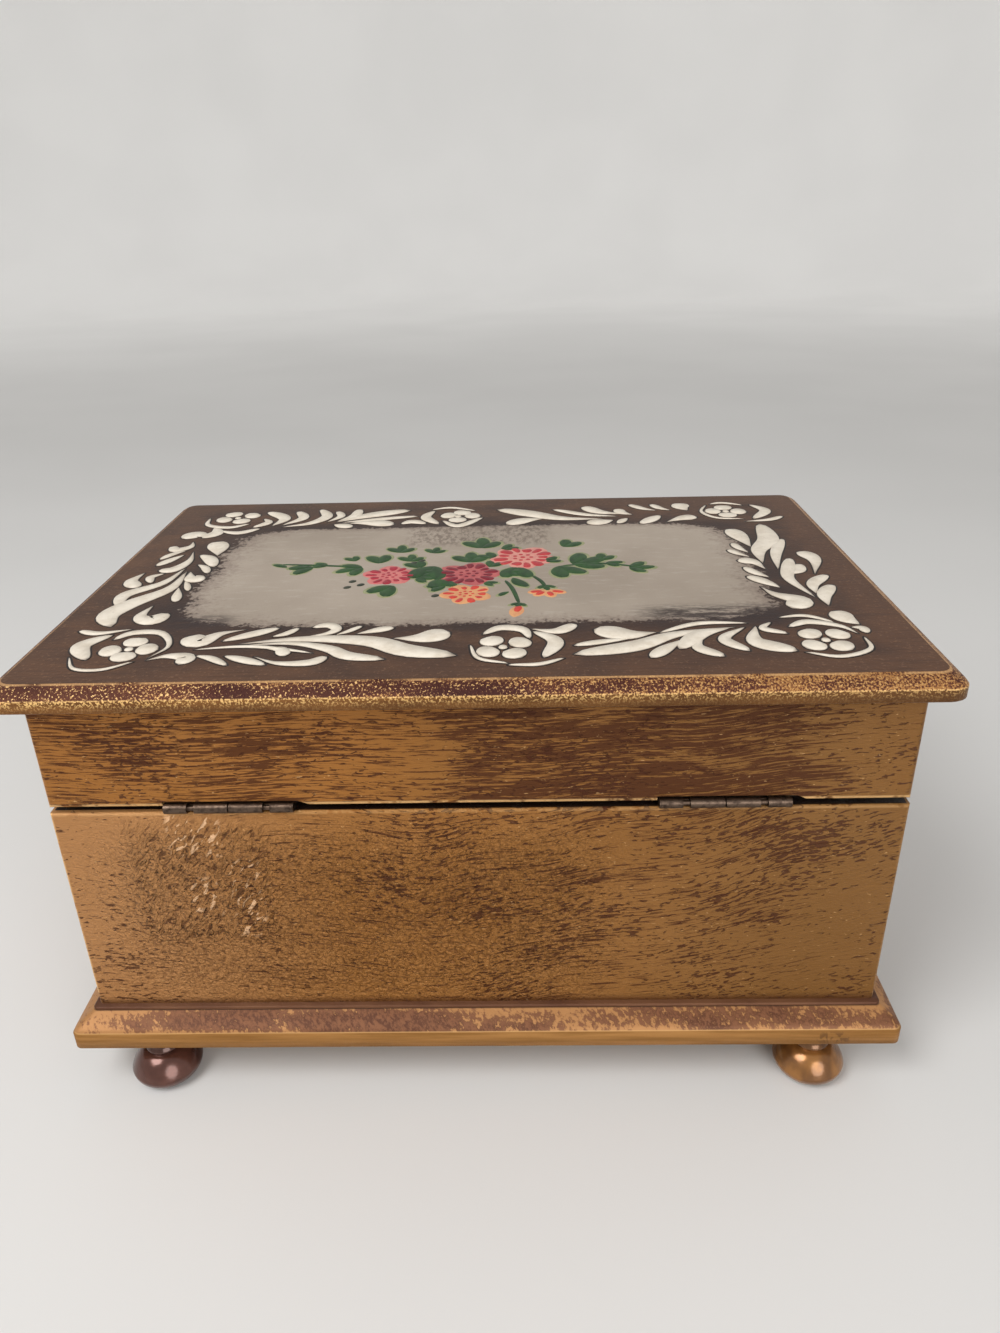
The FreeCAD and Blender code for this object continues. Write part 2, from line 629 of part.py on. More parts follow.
def cut_mortise(back, side):
    """The hinge's seat in the lower edge of the lid's back: square at one end, run out by the saw at the other."""
    low = f"({hinge_start(side)} + {half_width} - mortise_end)"
    high = f"({low} + {hinge_length} + 2 * mortise_end)"
    top = f"({pivot_z} + knuckle_radius + mortise_play - {rim_bottom})"
    depth = f"({half_depth} - {pivot_y} + knuckle_radius + mortise_inset)"
    drawing = sketch(back, "XZ", "-panel")
    below = "-1"
    corners = [(high, below), (high, top), (low, top)]
    runout = (f"{low} - mortise_runout", "0")
    places = [FreeCAD.Vector(worth(x), worth(y), 0) for x, y in corners + [runout, (runout[0], below)]]
    for first, second in ((0, 1), (1, 2), (3, 4), (4, 0)):
        drawing.addGeometry(Part.LineSegment(places[first], places[second]), False)
    sag = worth(top) * 0.72
    middle = FreeCAD.Vector((places[2].x + places[3].x) / 2, sag, 0)
    drawing.addGeometry(Part.Arc(places[2], middle, places[3]), False)
    ends = [corners[0], corners[1], corners[1], corners[2], runout, (runout[0], below), (runout[0], below), corners[0]]
    for line in range(4):
        pin_point(drawing, line, 1, *ends[2 * line])
        pin_point(drawing, line, 2, *ends[2 * line + 1])
    arc = drawing.Geometry[4]
    first, second = (1, 2) if arc.StartPoint.distanceToPoint(places[2]) < 1e-6 else (2, 1)
    drawing.addConstraint(Sketcher.Constraint("Coincident", 4, first, 1, 2))
    drawing.addConstraint(Sketcher.Constraint("Coincident", 4, second, 2, 1))
    cut(back, drawing, depth)


def make_leaf(label, side, carries, level, overlap):
    """A hinge leaf: a thin plate under or over the hinge axis, rolled into knuckles on part of its length."""
    body = piece(label, hinge_start(side), pivot_y, pivot_z)
    thick = "((lid_gap - leaf_play) / 2)"
    starts = ["0", "knuckle_end + knuckle_notch", "knuckle_end + knuckle_notch + knuckle_mid + knuckle_split",
              "knuckle_end + 2 * knuckle_notch + 2 * knuckle_mid + knuckle_split"]
    lengths = ["knuckle_end", "knuckle_mid", "knuckle_mid", "knuckle_end"]
    clear = "(-knuckle_radius - knuckle_play)"
    plate = outline(body, "XY", [("0", "-leaf_depth"), (hinge_length, "-leaf_depth"), (hinge_length, clear),
                                 ("0", clear)], level)
    pad(body, plate, thick)
    for number in carries:
        start, end = starts[number], f"{starts[number]} + {lengths[number]}"
        tongue = outline(body, "XY", [(start, clear), (end, clear), (end, overlap), (start, overlap)], level)
        pad(body, tongue, thick)
        pad(body, ring(body, "YZ", "knuckle_radius", lift=start), lengths[number])
    bore = ring(body, "YZ", "hinge_pin + pin_play")
    cut(body, bore, hinge_length)
    return body


def make_hinges():
    parts = []
    for name, side in (("right", ""), ("left", "-")):
        parts.append(make_leaf(f"hinge_{name}_case_leaf", side, (1, 3), f"{body_top} - {pivot_z}", "0"))
        parts.append(make_leaf(f"hinge_{name}_lid_leaf", side, (0, 2),
                               f"{rim_bottom} - {pivot_z} - (lid_gap - leaf_play) / 2",
                               "-(hinge_pin + pin_play + knuckle_radius) / 2"))
        rod = piece(f"hinge_{name}_pin", hinge_start(side), pivot_y, pivot_z)
        pad(rod, ring(rod, "YZ", "hinge_pin"), hinge_length)
        parts.append(rod)
    return parts


def make_lid_lining():
    board_bottom = f"({rim_top} - lid_board)"
    glass_bottom = f"({board_bottom} - mirror)"
    lined = board("lid_lining", (f"-{inside_x} + pad_play", f"{inside_x} - pad_play"),
                  (f"-{inside_y} + pad_play", f"{inside_y} - pad_play"), (board_bottom, rim_top))
    glass = board("mirror_glass", ("-mirror_width / 2", "mirror_width / 2"),
                  ("-mirror_height / 2", "mirror_height / 2"), (glass_bottom, board_bottom))
    frame = piece("mirror_frame", z=f"{glass_bottom} - frame_lip_height")
    outer = ("mirror_width / 2 - frame_lip + frame_width", "mirror_height / 2 - frame_lip + frame_width")
    height = "(mirror + frame_lip_height)"
    pad(frame, outline(frame, "XY", [corner[:2] for corner in plan(*outer, "0")]), height)
    sight = [corner[:2] for corner in plan("mirror_width / 2 - frame_lip", "mirror_height / 2 - frame_lip", "0")]
    cut(frame, outline(frame, "XY", sight), height)
    seat = [corner[:2] for corner in plan("mirror_width / 2", "mirror_height / 2", "0")]
    cut(frame, outline(frame, "XY", seat, "frame_lip_height"), "mirror")
    bevel(frame, "frame_lip_height * 0.8", {"z": "0", "x": f"({outer[0]})"}, {"z": "0", "x": f"-({outer[0]})"},
          {"z": "0", "y": f"({outer[1]})"}, {"z": "0", "y": f"-({outer[1]})"})
    return [lined, glass, frame]


# The movement

def make_bedplate():
    """The cast bedplate, with the raised shelf for the comb and the bearings of the upright arbors."""
    body = piece("bedplate", move_x, move_y, base_top)
    pad(body, outline(body, "XY", plan("bed_length / 2", "bed_depth / 2", "bed_corner")), "bed")
    near = f"({tip_y} - {move_y} - bass_tooth)"
    far = f"({near} - comb_root)"
    x_low = f"({cylinder_x} - {move_x})"
    x_high = f"({x_low} + cylinder_length)"
    shelf = [(x_low, far), (x_high, far), (x_high, near), (x_low, near)]
    pad(body, outline(body, "XY", shelf, "bed"), "axis_level - comb_tooth / 2")
    cut(body, ring(body, "XY", "key_arbor + pin_play", "barrel_shift", "axis_shift"), "bed")
    foot = ring(body, "XY", "worm_arbor + pin_play", f"{worm_x} - {move_x}", f"{worm_y} - {move_y}", "bed / 2")
    cut(body, foot, "bed / 2")
    return body


def make_barrel():
    """The spring barrel, closed, with the bearing for the key arbor."""
    body = piece("spring_barrel", key_x, axis_y, bed_top)
    height = f"({barrel_top} - {bed_top})"
    turned(body, [
        ("key_arbor + pin_play", "0"),
        ("barrel_radius", "0"),
        ("barrel_radius", height),
        ("key_arbor + pin_play", height),
    ])
    return body


def tooth(body, plane, root, radius, width, lift, depth):
    """One tapered tooth that points along the sketch's first axis, sunk a little into the root circle."""
    half = f"({width} / 2)"
    tip = f"({half} * tooth_taper)"
    base = f"({half} * 1.35)"
    sunk = f"({root} - 0.15)"
    corners = [(sunk, f"-{base}"), (f"{radius} + addendum", f"-{tip}"), (f"{radius} + addendum", tip), (sunk, base)]
    return pad(body, outline(body, plane, corners, lift), depth)


def spur(body, radius, count, spacing, lift, depth):
    """A spur gear about X: a disc to the root circle, one tooth, and its pattern."""
    root = f"({radius} - dedendum)"
    pad(body, ring(body, "YZ", root, lift=lift), depth)
    first = tooth(body, "YZ", root, radius, f"({spacing} * tooth_share)", lift, depth)
    return circled(body, first, "YZ", count)


def make_contrate():
    """The contrate wheel on the key arbor: a disc whose teeth stand up from its rim."""
    body = piece("contrate_wheel", key_x, axis_y, f"{axis_z} - {pinion_radius}", ((0, 0, 1), "180"))
    inner = f"({contrate_radius} - contrate_face / 2)"
    outer = f"({contrate_radius} + contrate_face / 2)"
    root = "(-dedendum)"
    turned(body, [
        ("key_arbor", f"{root} - contrate_disc"),
        (outer, f"{root} - contrate_disc"),
        (outer, root),
        (inner, root),
        ("key_arbor + 1.4", f"{root} - contrate_disc * 0.4"),
        ("key_arbor", f"{root} - contrate_disc * 0.4"),
    ])
    half = f"({pitch} * tooth_share / 2)"
    tip = f"({half} * tooth_taper)"
    foot = f"({half} * 1.35)"
    corners = [(f"-{foot}", f"{root} - 0.15"), (foot, f"{root} - 0.15"), (tip, "addendum"), (f"-{tip}", "addendum")]
    first = pad(body, outline(body, "YZ", corners, f"{inner} + 0.1"), "contrate_face - 0.3")
    circled(body, first, "XY", "contrate_teeth")
    return body


def make_key_arbor():
    body = piece("key_arbor", key_x, axis_y)
    low = "(foot_height - key_drop - key_hub_height)"
    high = f"({axis_z} - {pinion_radius} - dedendum)"
    turned(body, [
        ("0", low),
        ("key_arbor", low),
        ("key_arbor", f"{high} - contrate_disc * 0.4"),
        ("key_arbor * 0.7", high),
        ("0", high),
    ])
    return body


def make_key():
    """The winding key under the base: a round hub over two flat rounded wings."""
    low = "(foot_height - key_drop - key_hub_height - key_wing)"
    body = piece("winding_key", key_x, axis_y, low)
    turned(body, [
        ("0", "key_wing * 0.35"),
        ("key_hub * 0.8", "key_wing * 0.35"),
        ("key_hub", "key_wing * 0.6"),
        ("key_hub", "key_wing + key_hub_height"),
        ("key_arbor", "key_wing + key_hub_height"),
        ("key_arbor", "key_wing"),
        ("0", "key_wing"),
    ])
    half = "(key_span / 2)"
    corner = "(key_wing * 0.45)"
    wings = outline(body, "XZ", [(f"-{half}", "0", corner), (half, "0", corner), (half, "key_wing", corner),
                                 (f"-{half}", "key_wing", corner)], "-key_blade / 2")
    pad(body, wings, "key_blade")
    return body


def make_cylinder():
    """The music cylinder with its pins: each track has the same few pins, each time started elsewhere."""
    radius = worth("cylinder_radius")
    length = worth("cylinder_length")
    arbor = worth("cylinder_arbor")
    tracks = int(worth("track_count"))
    pins = int(worth("track_pins"))
    side = worth("pin_side")
    reach = worth("pin_reach")
    along = FreeCAD.Vector(1, 0, 0)
    start = FreeCAD.Vector()
    solid = Part.makeCylinder(radius, length, start, along)
    studs = []
    for track in range(tracks):
        x = (track + 0.5) * length / tracks
        for number in range(pins):
            angle = (track * 97 + number * (360 / pins) + number * track * 13) % 360
            stud = Part.makeBox(side, side, reach + 0.3, FreeCAD.Vector(x - side / 2, -side / 2, radius - 0.3))
            stud.rotate(start, along, angle)
            studs.append(stud)
    solid = solid.fuse(studs).removeSplitter()
    solid = solid.cut(Part.makeCylinder(arbor, length, start, along))
    new = document.addObject("Part::Feature", "music_cylinder")
    new.Label = "music_cylinder"
    new.Shape = solid
    for letter, text in zip("xyz", (cylinder_x, axis_y, axis_z)):
        new.setExpression(f".Placement.Base.{letter}", tie(text))
    return new


def make_cylinder_arbor():
    """The cylinder's arbor, with the pinion that the contrate wheel drives on its end."""
    body = piece("cylinder_arbor", outer_cock_x, axis_y, axis_z, ((1, 0, 0), "-90 + 180 / pinion_teeth"))
    lift = f"({pinion_x} - {outer_cock_x})"
    spur(body, pinion_radius, "pinion_teeth", pitch, lift, "contrate_face")
    pad(body, ring(body, "YZ", "cylinder_arbor"), f"{lift} + contrate_face + 0.2")
    return body


def make_cylinder_gear():
    body = piece("cylinder_gear", gear_x, axis_y, axis_z)
    spur(body, gear_radius, "gear_teeth", pitch, "0", "gear_face")
    cut(body, ring(body, "YZ", "cylinder_arbor"), "gear_face")
    return body


def make_second_pinion():
    """The second arbor with the pinion that the cylinder gear drives."""
    body = piece("second_pinion", outer_cock_x, second_y, axis_z, ((1, 0, 0), "180 + 180 / leaf_teeth"))
    spur(body, leaf_radius, "leaf_teeth", pitch, f"{leaf_x} - {outer_cock_x}", "leaf_face")
    pad(body, ring(body, "YZ", "second_arbor"), f"{cylinder_x} + 2 * gear_gap + cock - {outer_cock_x}")
    return body


def make_worm_wheel():
    body = piece("worm_wheel", wheel_x, second_y, axis_z)
    spur(body, wheel_radius, "wheel_teeth", "worm_lead", "0", "wheel_face")
    cut(body, ring(body, "YZ", "second_arbor"), "wheel_face")
    return body


def make_worm():
    """The governor's upright arbor with its single worm thread, wound in short straight steps."""
    lead = worth("worm_lead")
    radius = worth("worm_radius")
    tip = radius + worth("addendum") * 0.75
    core = radius - worth("dedendum")
    half = lead * worth("tooth_share") / 2
    half_tip = half * worth("tooth_taper")
    half_root = half * 1.35
    arbor = worth("worm_arbor")
    centre = worth(axis_z)
    start = centre - (2 + 0.25) * lead
    steps = int(worth("worm_steps"))
    count = int(worth("worm_turns") * steps)
    section = [(core - 0.1, -half_root), (tip, -half_tip), (tip, half_tip), (core - 0.1, half_root)]
    rings = []
    for step in range(count + 1):
        angle = 2 * math.pi * step / steps
        rise = start + lead * step / steps
        rings.append([FreeCAD.Vector(r * math.cos(angle), r * math.sin(angle), rise + z) for r, z in section])
    faces = [Part.Face(Part.makePolygon(rings[0] + rings[0][:1])), Part.Face(Part.makePolygon(rings[-1] + rings[-1][:1]))]
    for lower, upper in zip(rings, rings[1:]):
        for side in range(4):
            a, b = lower[side], lower[(side + 1) % 4]
            c, d = upper[side], upper[(side + 1) % 4]
            faces.append(Part.Face(Part.makePolygon([a, b, d, a])))
            faces.append(Part.Face(Part.makePolygon([a, d, c, a])))
    thread = Part.makeSolid(Part.makeShell(faces))
    if thread.Volume < 0:
        thread.reverse()
    low = start - lead * 0.6
    high = start + lead * (worth("worm_turns") + 0.6)
    body_of_worm = Part.makeCylinder(core, high - low, FreeCAD.Vector(0, 0, low))
    bottom = worth(f"{base_top} + bed / 2 + 0.1")
    top = worth(f"{arm_z} + arm_height")
    rod = Part.makeCylinder(arbor, top - bottom, FreeCAD.Vector(0, 0, bottom))
    new = document.addObject("Part::Feature", "governor_worm")
    new.Label = "governor_worm"
    new.Shape = thread.fuse([body_of_worm, rod])
    new.setExpression(".Placement.Base.x", tie(worm_x))
    new.setExpression(".Placement.Base.y", tie(worm_y))
    return new


def make_fan():
    """The air brake: two thin blades on a hub at the top of the worm's arbor."""
    body = piece("air_brake", worm_x, worm_y, fan_z)
    pad(body, ring(body, "XY", "fan_hub"), "fan_height")
    half = "(fan_blade / 2)"
    reach = "(fan_radius - 0.1)"
    blade = [(f"-{reach}", f"-{half}"), (reach, f"-{half}"), (reach, half), (f"-{reach}", half)]
    pad(body, outline(body, "XY", blade, "fan_height * 0.1"), "fan_height * 0.8")
    cut(body, ring(body, "XY", "worm_arbor"), "fan_height")
    return body


def make_cylinder_cock():
    """The bearing plate between the cylinder and its pinion."""
    body = piece("cylinder_cock", inner_cock_x, axis_y, bed_top)
    half = "(cylinder_arbor + cock_margin)"
    top = f"(axis_level + {half})"
    foot = f"({half} + 2)"
    plate = outline(body, "YZ", [(f"-{foot}", "0"), (foot, "0"), (half, top, "1"), (f"-{half}", top, "1")])
    pad(body, plate, "cock")
    cut(body, ring(body, "YZ", "cylinder_arbor + pin_play", "0", "axis_level"), "cock")
    return body


def make_governor_frame():
    """The cast frame: the outer bearing plate, the short post on the other side, and the post with the top arm."""
    body = piece("governor_frame", outer_cock_x, axis_y, bed_top)
    far = f"({second_y} - {axis_y})"
    margin = "cock_margin"
    top = f"(axis_level + cylinder_arbor + {margin})"
    left = f"(cylinder_arbor + {margin})"
    right = f"({far} + second_arbor + {margin})"
    plate = outline(body, "YZ", [(f"-{left}", "0"), (right, "0"), (right, top), (f"-{left}", top, "1")])
    pad(body, plate, "cock")
    inner = f"({cylinder_x} + 2 * gear_gap - {outer_cock_x})"
    near = f"({far} - second_arbor - 0.6)"
    post = outline(body, "YZ", [(near, "0"), (right, "0"), (right, top), (near, top)], inner)
    pad(body, post, "cock")
    centre = f"({worm_x} - {outer_cock_x})"
    low_x, high_x = f"({centre} - arm_width / 2)", f"({centre} + arm_width / 2)"
    wall = f"({worm_y} - {axis_y} + fan_radius + arm_gap)"
    back = f"({wall} + cock)"
    pillar = [(low_x, wall), (high_x, wall), (high_x, back), (low_x, back)]
    arm_level = f"({arm_z} - {bed_top})"
    pad(body, outline(body, "XY", pillar), f"{arm_level} + arm_height")
    reach = f"({worm_y} - {axis_y} - worm_arbor - {margin})"
    arm = [(low_x, reach), (high_x, reach), (high_x, back), (low_x, back)]
    pad(body, outline(body, "XY", arm, arm_level), "arm_height")
    foot = [("0", right), (high_x, right), (high_x, back), ("0", back)]
    pad(body, outline(body, "XY", foot), "cock")
    strip = [("cock", near), (f"{inner}", near), (f"{inner}", right), ("cock", right)]
    pad(body, outline(body, "XY", strip), "cock")
    whole = f"{inner} + cock"
    cut(body, ring(body, "YZ", "cylinder_arbor + pin_play", "0", "axis_level"), "cock")
    cut(body, ring(body, "YZ", "second_arbor + pin_play", far, "axis_level"), whole)
    for level, thick in (("0", "cock"), (arm_level, "arm_height")):
        cut(body, ring(body, "XY", "worm_arbor + pin_play", centre, f"{worm_y} - {axis_y}", level), thick)
    return body


def make_comb():
    """The steel comb: a root whose front edge slants, and one tooth for each track."""
    body = piece("comb", cylinder_x, tip_y, f"{axis_z} - comb_tooth / 2")
    step = "(cylinder_length / track_count)"
    first = [("comb_slit / 2", "-bass_tooth"), (f"{step} - comb_slit / 2", "-bass_tooth"),
             (f"{step} - comb_slit / 2", "0"), ("comb_slit / 2", "0")]
    one = pad(body, outline(body, "XY", first), "comb_tooth")
    row = feature(body, "LinearPattern", Occurrences="track_count", Length=f"{step} * (track_count - 1)")
    row.Originals = [one]
    row.Direction = ([part for part in body.Origin.OriginFeatures if part.Role == "X_Axis"][0], [""])
    body.Tip = row
    back = "(-bass_tooth - comb_root)"
    thin = [("0", back), ("cylinder_length", back), ("cylinder_length", "-treble_tooth"), ("0", "-bass_tooth")]
    pad(body, outline(body, "XY", thin), "comb_tooth")
    thick = [("0", back), ("cylinder_length", back), ("cylinder_length", f"{back} + comb_root"),
             ("0", f"{back} + comb_root")]
    pad(body, outline(body, "XY", thick, "comb_tooth"), "comb_plate - comb_tooth")
    return body


def make_stop_wire():
    """The bent wire that rises with the lid and frees the air brake. Its bend is one short slanting step."""
    body = piece("stop_wire", wire_x, wire_y, wire_z)
    top = f"({rim_bottom} - wire_head - {wire_z})"
    end = f"({worm_y} - {wire_y})"
    path = outline(body, "YZ", [("0", top), ("0", "wire_bend"), ("-wire_bend", "0"), (end, "0")], closed=False)
    circle = ring(body, "XY", "wire_radius", lift=top)
    document.recompute()
    rod = feature(body, "AdditivePipe", circle)
    rod.Spine = (path, [f"Edge{number + 1}" for number in range(len(path.Shape.Edges))])
    rod.Transition = "Right corner"
    return body


feet = [make_foot(f"foot_{name_y}_{name_x}", side_x, side_y)
        for name_y, side_y in (("front", "-"), ("back", "")) for name_x, side_x in (("left", "-"), ("right", ""))]
parts = [make_base()] + feet + make_case() + make_lining() + make_dividers() + make_floor_pads()
parts += make_ring_rolls() + make_cover() + make_bumpers()
parts += [make_lid_plate()] + make_rim() + make_hinges() + make_lid_lining()
parts += [make_bedplate(), make_barrel(), make_contrate(), make_key_arbor(), make_key(), make_cylinder(),
          make_cylinder_arbor(), make_cylinder_gear(), make_second_pinion(), make_worm_wheel(), make_worm(),
          make_fan(), make_cylinder_cock(), make_governor_frame(), make_comb(), make_stop_wire()]
document.recompute()

# Every object has to be sound before anything is written

for item in document.Objects:
    if "Invalid" in item.State or "Error" in item.State:
        raise ValueError(f"{item.Name} failed: {item.State}")
for part in parts:
    if part.Shape.isNull() or not part.Shape.isValid() or len(part.Shape.Solids) != 1:
        raise ValueError(part.Label + " is not one valid solid")

os.makedirs("parts", exist_ok=True)
for part in parts:
    part.Shape.exportStep(f"parts/{part.Label}.step")
print(len(parts), "parts")
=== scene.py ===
import json
import random
from math import atan2, copysign, cos, degrees, pi, radians, sin, sqrt

import bmesh
import bpy
from mathutils import Matrix, Vector


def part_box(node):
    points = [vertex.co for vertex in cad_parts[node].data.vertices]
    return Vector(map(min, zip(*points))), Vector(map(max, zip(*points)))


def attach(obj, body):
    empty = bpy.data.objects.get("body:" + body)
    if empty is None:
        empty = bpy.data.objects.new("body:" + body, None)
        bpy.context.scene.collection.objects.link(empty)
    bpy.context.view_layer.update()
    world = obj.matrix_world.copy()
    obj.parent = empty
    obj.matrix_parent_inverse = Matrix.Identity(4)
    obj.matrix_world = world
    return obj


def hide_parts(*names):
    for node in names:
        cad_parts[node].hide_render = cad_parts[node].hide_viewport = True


# The looks of a musical jewellery box: antique gold walls, a dark lid with a raised cream border round a
# worn painted panel, moulded edges, bun feet, and a velvet inside with a mirror and a music movement.
# Metres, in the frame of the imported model. The hinge side is at +Y.

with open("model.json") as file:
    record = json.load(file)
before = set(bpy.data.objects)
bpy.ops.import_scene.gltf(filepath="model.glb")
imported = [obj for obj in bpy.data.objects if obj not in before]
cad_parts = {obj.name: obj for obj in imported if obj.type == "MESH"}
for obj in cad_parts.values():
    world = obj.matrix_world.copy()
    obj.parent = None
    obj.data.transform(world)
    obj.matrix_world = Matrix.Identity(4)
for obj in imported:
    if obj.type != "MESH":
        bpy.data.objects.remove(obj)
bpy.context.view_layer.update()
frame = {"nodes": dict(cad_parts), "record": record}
MM = 0.001
SEED = 7
random.seed(SEED)


# Tools for materials

def shade(red, green, blue):
    """A colour from screen values of 0 to 255."""
    parts = [value / 255 for value in (red, green, blue)]
    linear = [part / 12.92 if part <= 0.04045 else ((part + 0.055) / 1.055) ** 2.4 for part in parts]
    return (*linear, 1)


def node_for(operation, turned=False):
    """A method of Value for one kind of sum, with its node. Turned, it has the other number first."""
    if turned:
        return lambda self, other: self.finish.sum(operation, other, self)
    return lambda self, other=0.0: self.finish.sum(operation, self, other)


class Value:
    """A number, a place or a colour that a material works out for each spot."""

    __add__ = __radd__ = node_for("ADD")
    __sub__ = node_for("SUBTRACT")
    __rsub__ = node_for("SUBTRACT", turned=True)
    __mul__ = __rmul__ = node_for("MULTIPLY")
    __truediv__ = node_for("DIVIDE")
    __pow__ = node_for("POWER")
    __abs__ = node_for("ABSOLUTE")
    most = node_for("MAXIMUM")

    def __init__(self, finish, socket):
        self.finish = finish
        self.socket = socket

    def step(self, low=0.3, high=0.7):
        """0 under low, 1 over high, smooth between. A low that is over high turns it round."""
        values = {0: self, 1: low, 2: high, 3: 0.0, 4: 1.0}
        if low > high:
            values = {0: self, 1: high, 2: low, 3: 1.0, 4: 0.0}
        return self.finish.node("MapRange", values, interpolation_type="SMOOTHSTEP")

    def between(self, low, high, soft):
        """1 from low to high, with soft ends."""
        return self.step(low - soft, low + soft) * self.step(high + soft, high - soft)

    def step_mm(self, low, high):
        return self.step(low * MM, high * MM)


def patches(across, up, soft, *boxes):
    """1 in any of some boxes with soft edges, each given as low and high across and low and high up."""
    total = 0.0
    for left, right, low, high in boxes:
        total = (across.between(left, right, soft) * up.between(low, high, soft)).most(total)
    return total


class Finish:
    """A material under construction. Colours are given by their screen values."""

    def __init__(self, name, roughness=0.5, metallic=0.0, **settings):
        self.material = bpy.data.materials.new(name)
        self.material.use_nodes = True
        self.tree = self.material.node_tree
        self.inputs = self.tree.nodes["Principled BSDF"].inputs
        for key, value in dict(settings, Roughness=roughness, Metallic=metallic).items():
            self.put(self.inputs[key.replace("_", " ")], value)
        self.place = self.node("TexCoord", {}, "Object")
        self.tone = None
        self.normal = None

    def put(self, socket, value):
        """Joins an input to a value, or sets it to a number, a place or a colour."""
        if isinstance(value, Value):
            self.tree.links.new(value.socket, socket)
        else:
            socket.default_value = shade(*value) if socket.type == "RGBA" else value

    def node(self, kind, values, output=0, **settings):
        new = self.tree.nodes.new("ShaderNode" + kind)
        for name, setting in settings.items():
            setattr(new, name, setting)
        for key, value in values.items():
            self.put(new.inputs[key], value)
        return Value(self, new.outputs[output])

    def sum(self, operation, first, second):
        return self.node("Math", {0: first, 1: second}, operation=operation)

    def axes(self):
        split = self.node("SeparateXYZ", {0: self.place}).socket.node
        return [Value(self, output) for output in split.outputs]

    def noise_at(self, place, detail, rough=0.55, warp=0.0):
        values = {"Vector": place, "Scale": 1.0, "Detail": detail, "Roughness": rough, "Distortion": warp}
        return self.node("TexNoise", values)

    def noise(self, scale, *settings):
        """Noise at one scale, or at one for each axis. The settings are detail, roughness and warp."""
        scales = scale if isinstance(scale, tuple) else (scale, scale, scale)
        place = self.node("VectorMath", {0: self.place, 1: scales}, operation="MULTIPLY")
        return self.noise_at(place, *settings)

    def wall_noise(self, along, up, *settings, bend=0.0):
        """Noise that runs level round the four walls, so that one grain suits all of them."""
        x, y, z = self.axes()
        values = {0: (x + y) * along, 1: (x - y) * (along * 0.6), 2: (z + bend) * up}
        return self.noise_at(self.node("CombineXYZ", values), *settings)

    def mix(self, share, first, second):
        return self.node("Mix", {0: share, 6: first, 7: second}, 2, data_type="RGBA")

    def paint(self, colour):
        """Gives the whole surface one colour."""
        self.tone = colour
        self.put(self.inputs["Base Color"], colour)

    def lay(self, share, colour):
        """Lays a share of another colour over what is there."""
        self.paint(self.mix(share, self.tone, colour))

    def rough(self, share, low, high):
        """Roughness between two values by a share."""
        spread = {0: share, 1: 0.0, 2: 1.0, 3: low, 4: high}
        self.put(self.inputs["Roughness"], self.node("MapRange", spread))

    def bump(self, height, depth):
        """Relief of a depth in metres. A later call adds to an earlier one."""
        values = {"Strength": 1.0, "Distance": depth, "Height": height}
        if self.normal:
            values["Normal"] = self.normal
        self.normal = self.node("Bump", values)
        self.put(self.inputs["Normal"], self.normal)


# Tools for meshes

def new_object(name, data):
    piece = bpy.data.objects.new(name, data)
    bpy.context.scene.collection.objects.link(piece)
    return piece


def dress(piece, *finishes):
    piece.data.materials.clear()
    for finish in finishes:
        piece.data.materials.append(finish.material)


def make_object(name, shape, body=None, slot=None, finish=None, smooth=True, sharp=40):
    """A piece from the vertices and faces of its shape. It wears the finish of its slot, or its own."""
    vertices, faces = shape
    mesh = bpy.data.meshes.new(name)
    mesh.from_pydata(vertices, [], faces)
    mesh.update()
    piece = new_object(name, mesh)
    dress(piece, finish or BY_SLOT[slot])
    editable = bmesh.new()
    editable.from_mesh(mesh)
    bmesh.ops.recalc_face_normals(editable, faces=editable.faces)
    editable.to_mesh(mesh)
    editable.free()
    if smooth:
        mesh.polygons.foreach_set("use_smooth", [True] * len(mesh.polygons))
        mesh.set_sharp_from_angle(angle=radians(sharp))
    if body:
        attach(piece, body)
    return piece


def add(shape, part):
    """Adds the vertices and faces of a part to those of a shape."""
    start = len(shape[0])
    shape[0].extend(part[0])
    shape[1].extend(tuple(start + index for index in face) for face in part[1])


def polar(centre, reach, angle):
    """The point at a reach and an angle from a centre."""
    return (centre[0] + reach * cos(angle), centre[1] + reach * sin(angle))


def rounded_loop(half_x, half_y, corner, level):
    """The points of a rounded rectangle at a level, from its -X -Y corner round."""
    steps = 6
    points = []
    for number, (sx, sy) in enumerate(SQUARE):
        for step in range(steps + 1):
            angle = pi * (1 + number / 2) + pi / 2 * step / steps
            points.append((*polar((sx * (half_x - corner), sy * (half_y - corner)), corner, angle), level))
    return points


def skin(loops, close_first=True, close_last=True):
    """Vertices and faces of a skin over closed loops with as many points each."""
    count = len(loops[0])
    vertices = [point for loop in loops for point in loop]
    faces = []
    for row in range(len(loops) - 1):
        for side in range(count):
            a, b = row * count + side, row * count + (side + 1) % count
            faces.append((a, b, b + count, a + count))
    if close_first:
        faces.append(tuple(range(count - 1, -1, -1)))
    if close_last:
        faces.append(tuple(range((len(loops) - 1) * count, len(loops) * count)))
    return vertices, faces


def slab(low, high, rows):
    """A moulded slab with round corners, from rows of how far in, how high and how round each line is."""
    return skin([rounded_loop(high.x - inset, high.y - inset, corner, low.z + level)
                 for inset, level, corner in rows])


def hollow_slope(first, run, hollow, low, rise, corner, lost):
    """Rows of a slab for a slope that is hollowed a little and whose corners get sharper as it rises."""
    steps = 8
    shares = [step / steps for step in range(first, steps + 1)]
    return [(run * share - hollow * sin(pi * share), low + rise * share, corner - lost * share)
            for share in shares]


def lathe(profile, centre, sides=48, close_last=True):
    """Vertices and faces of a turned shape, from (radius, height) pairs."""
    loops = []
    for radius, height in profile:
        loops.append([(*polar(centre, radius, 2 * pi * side / sides), centre[2] + height)
                      for side in range(sides)])
    return skin(loops, True, close_last)


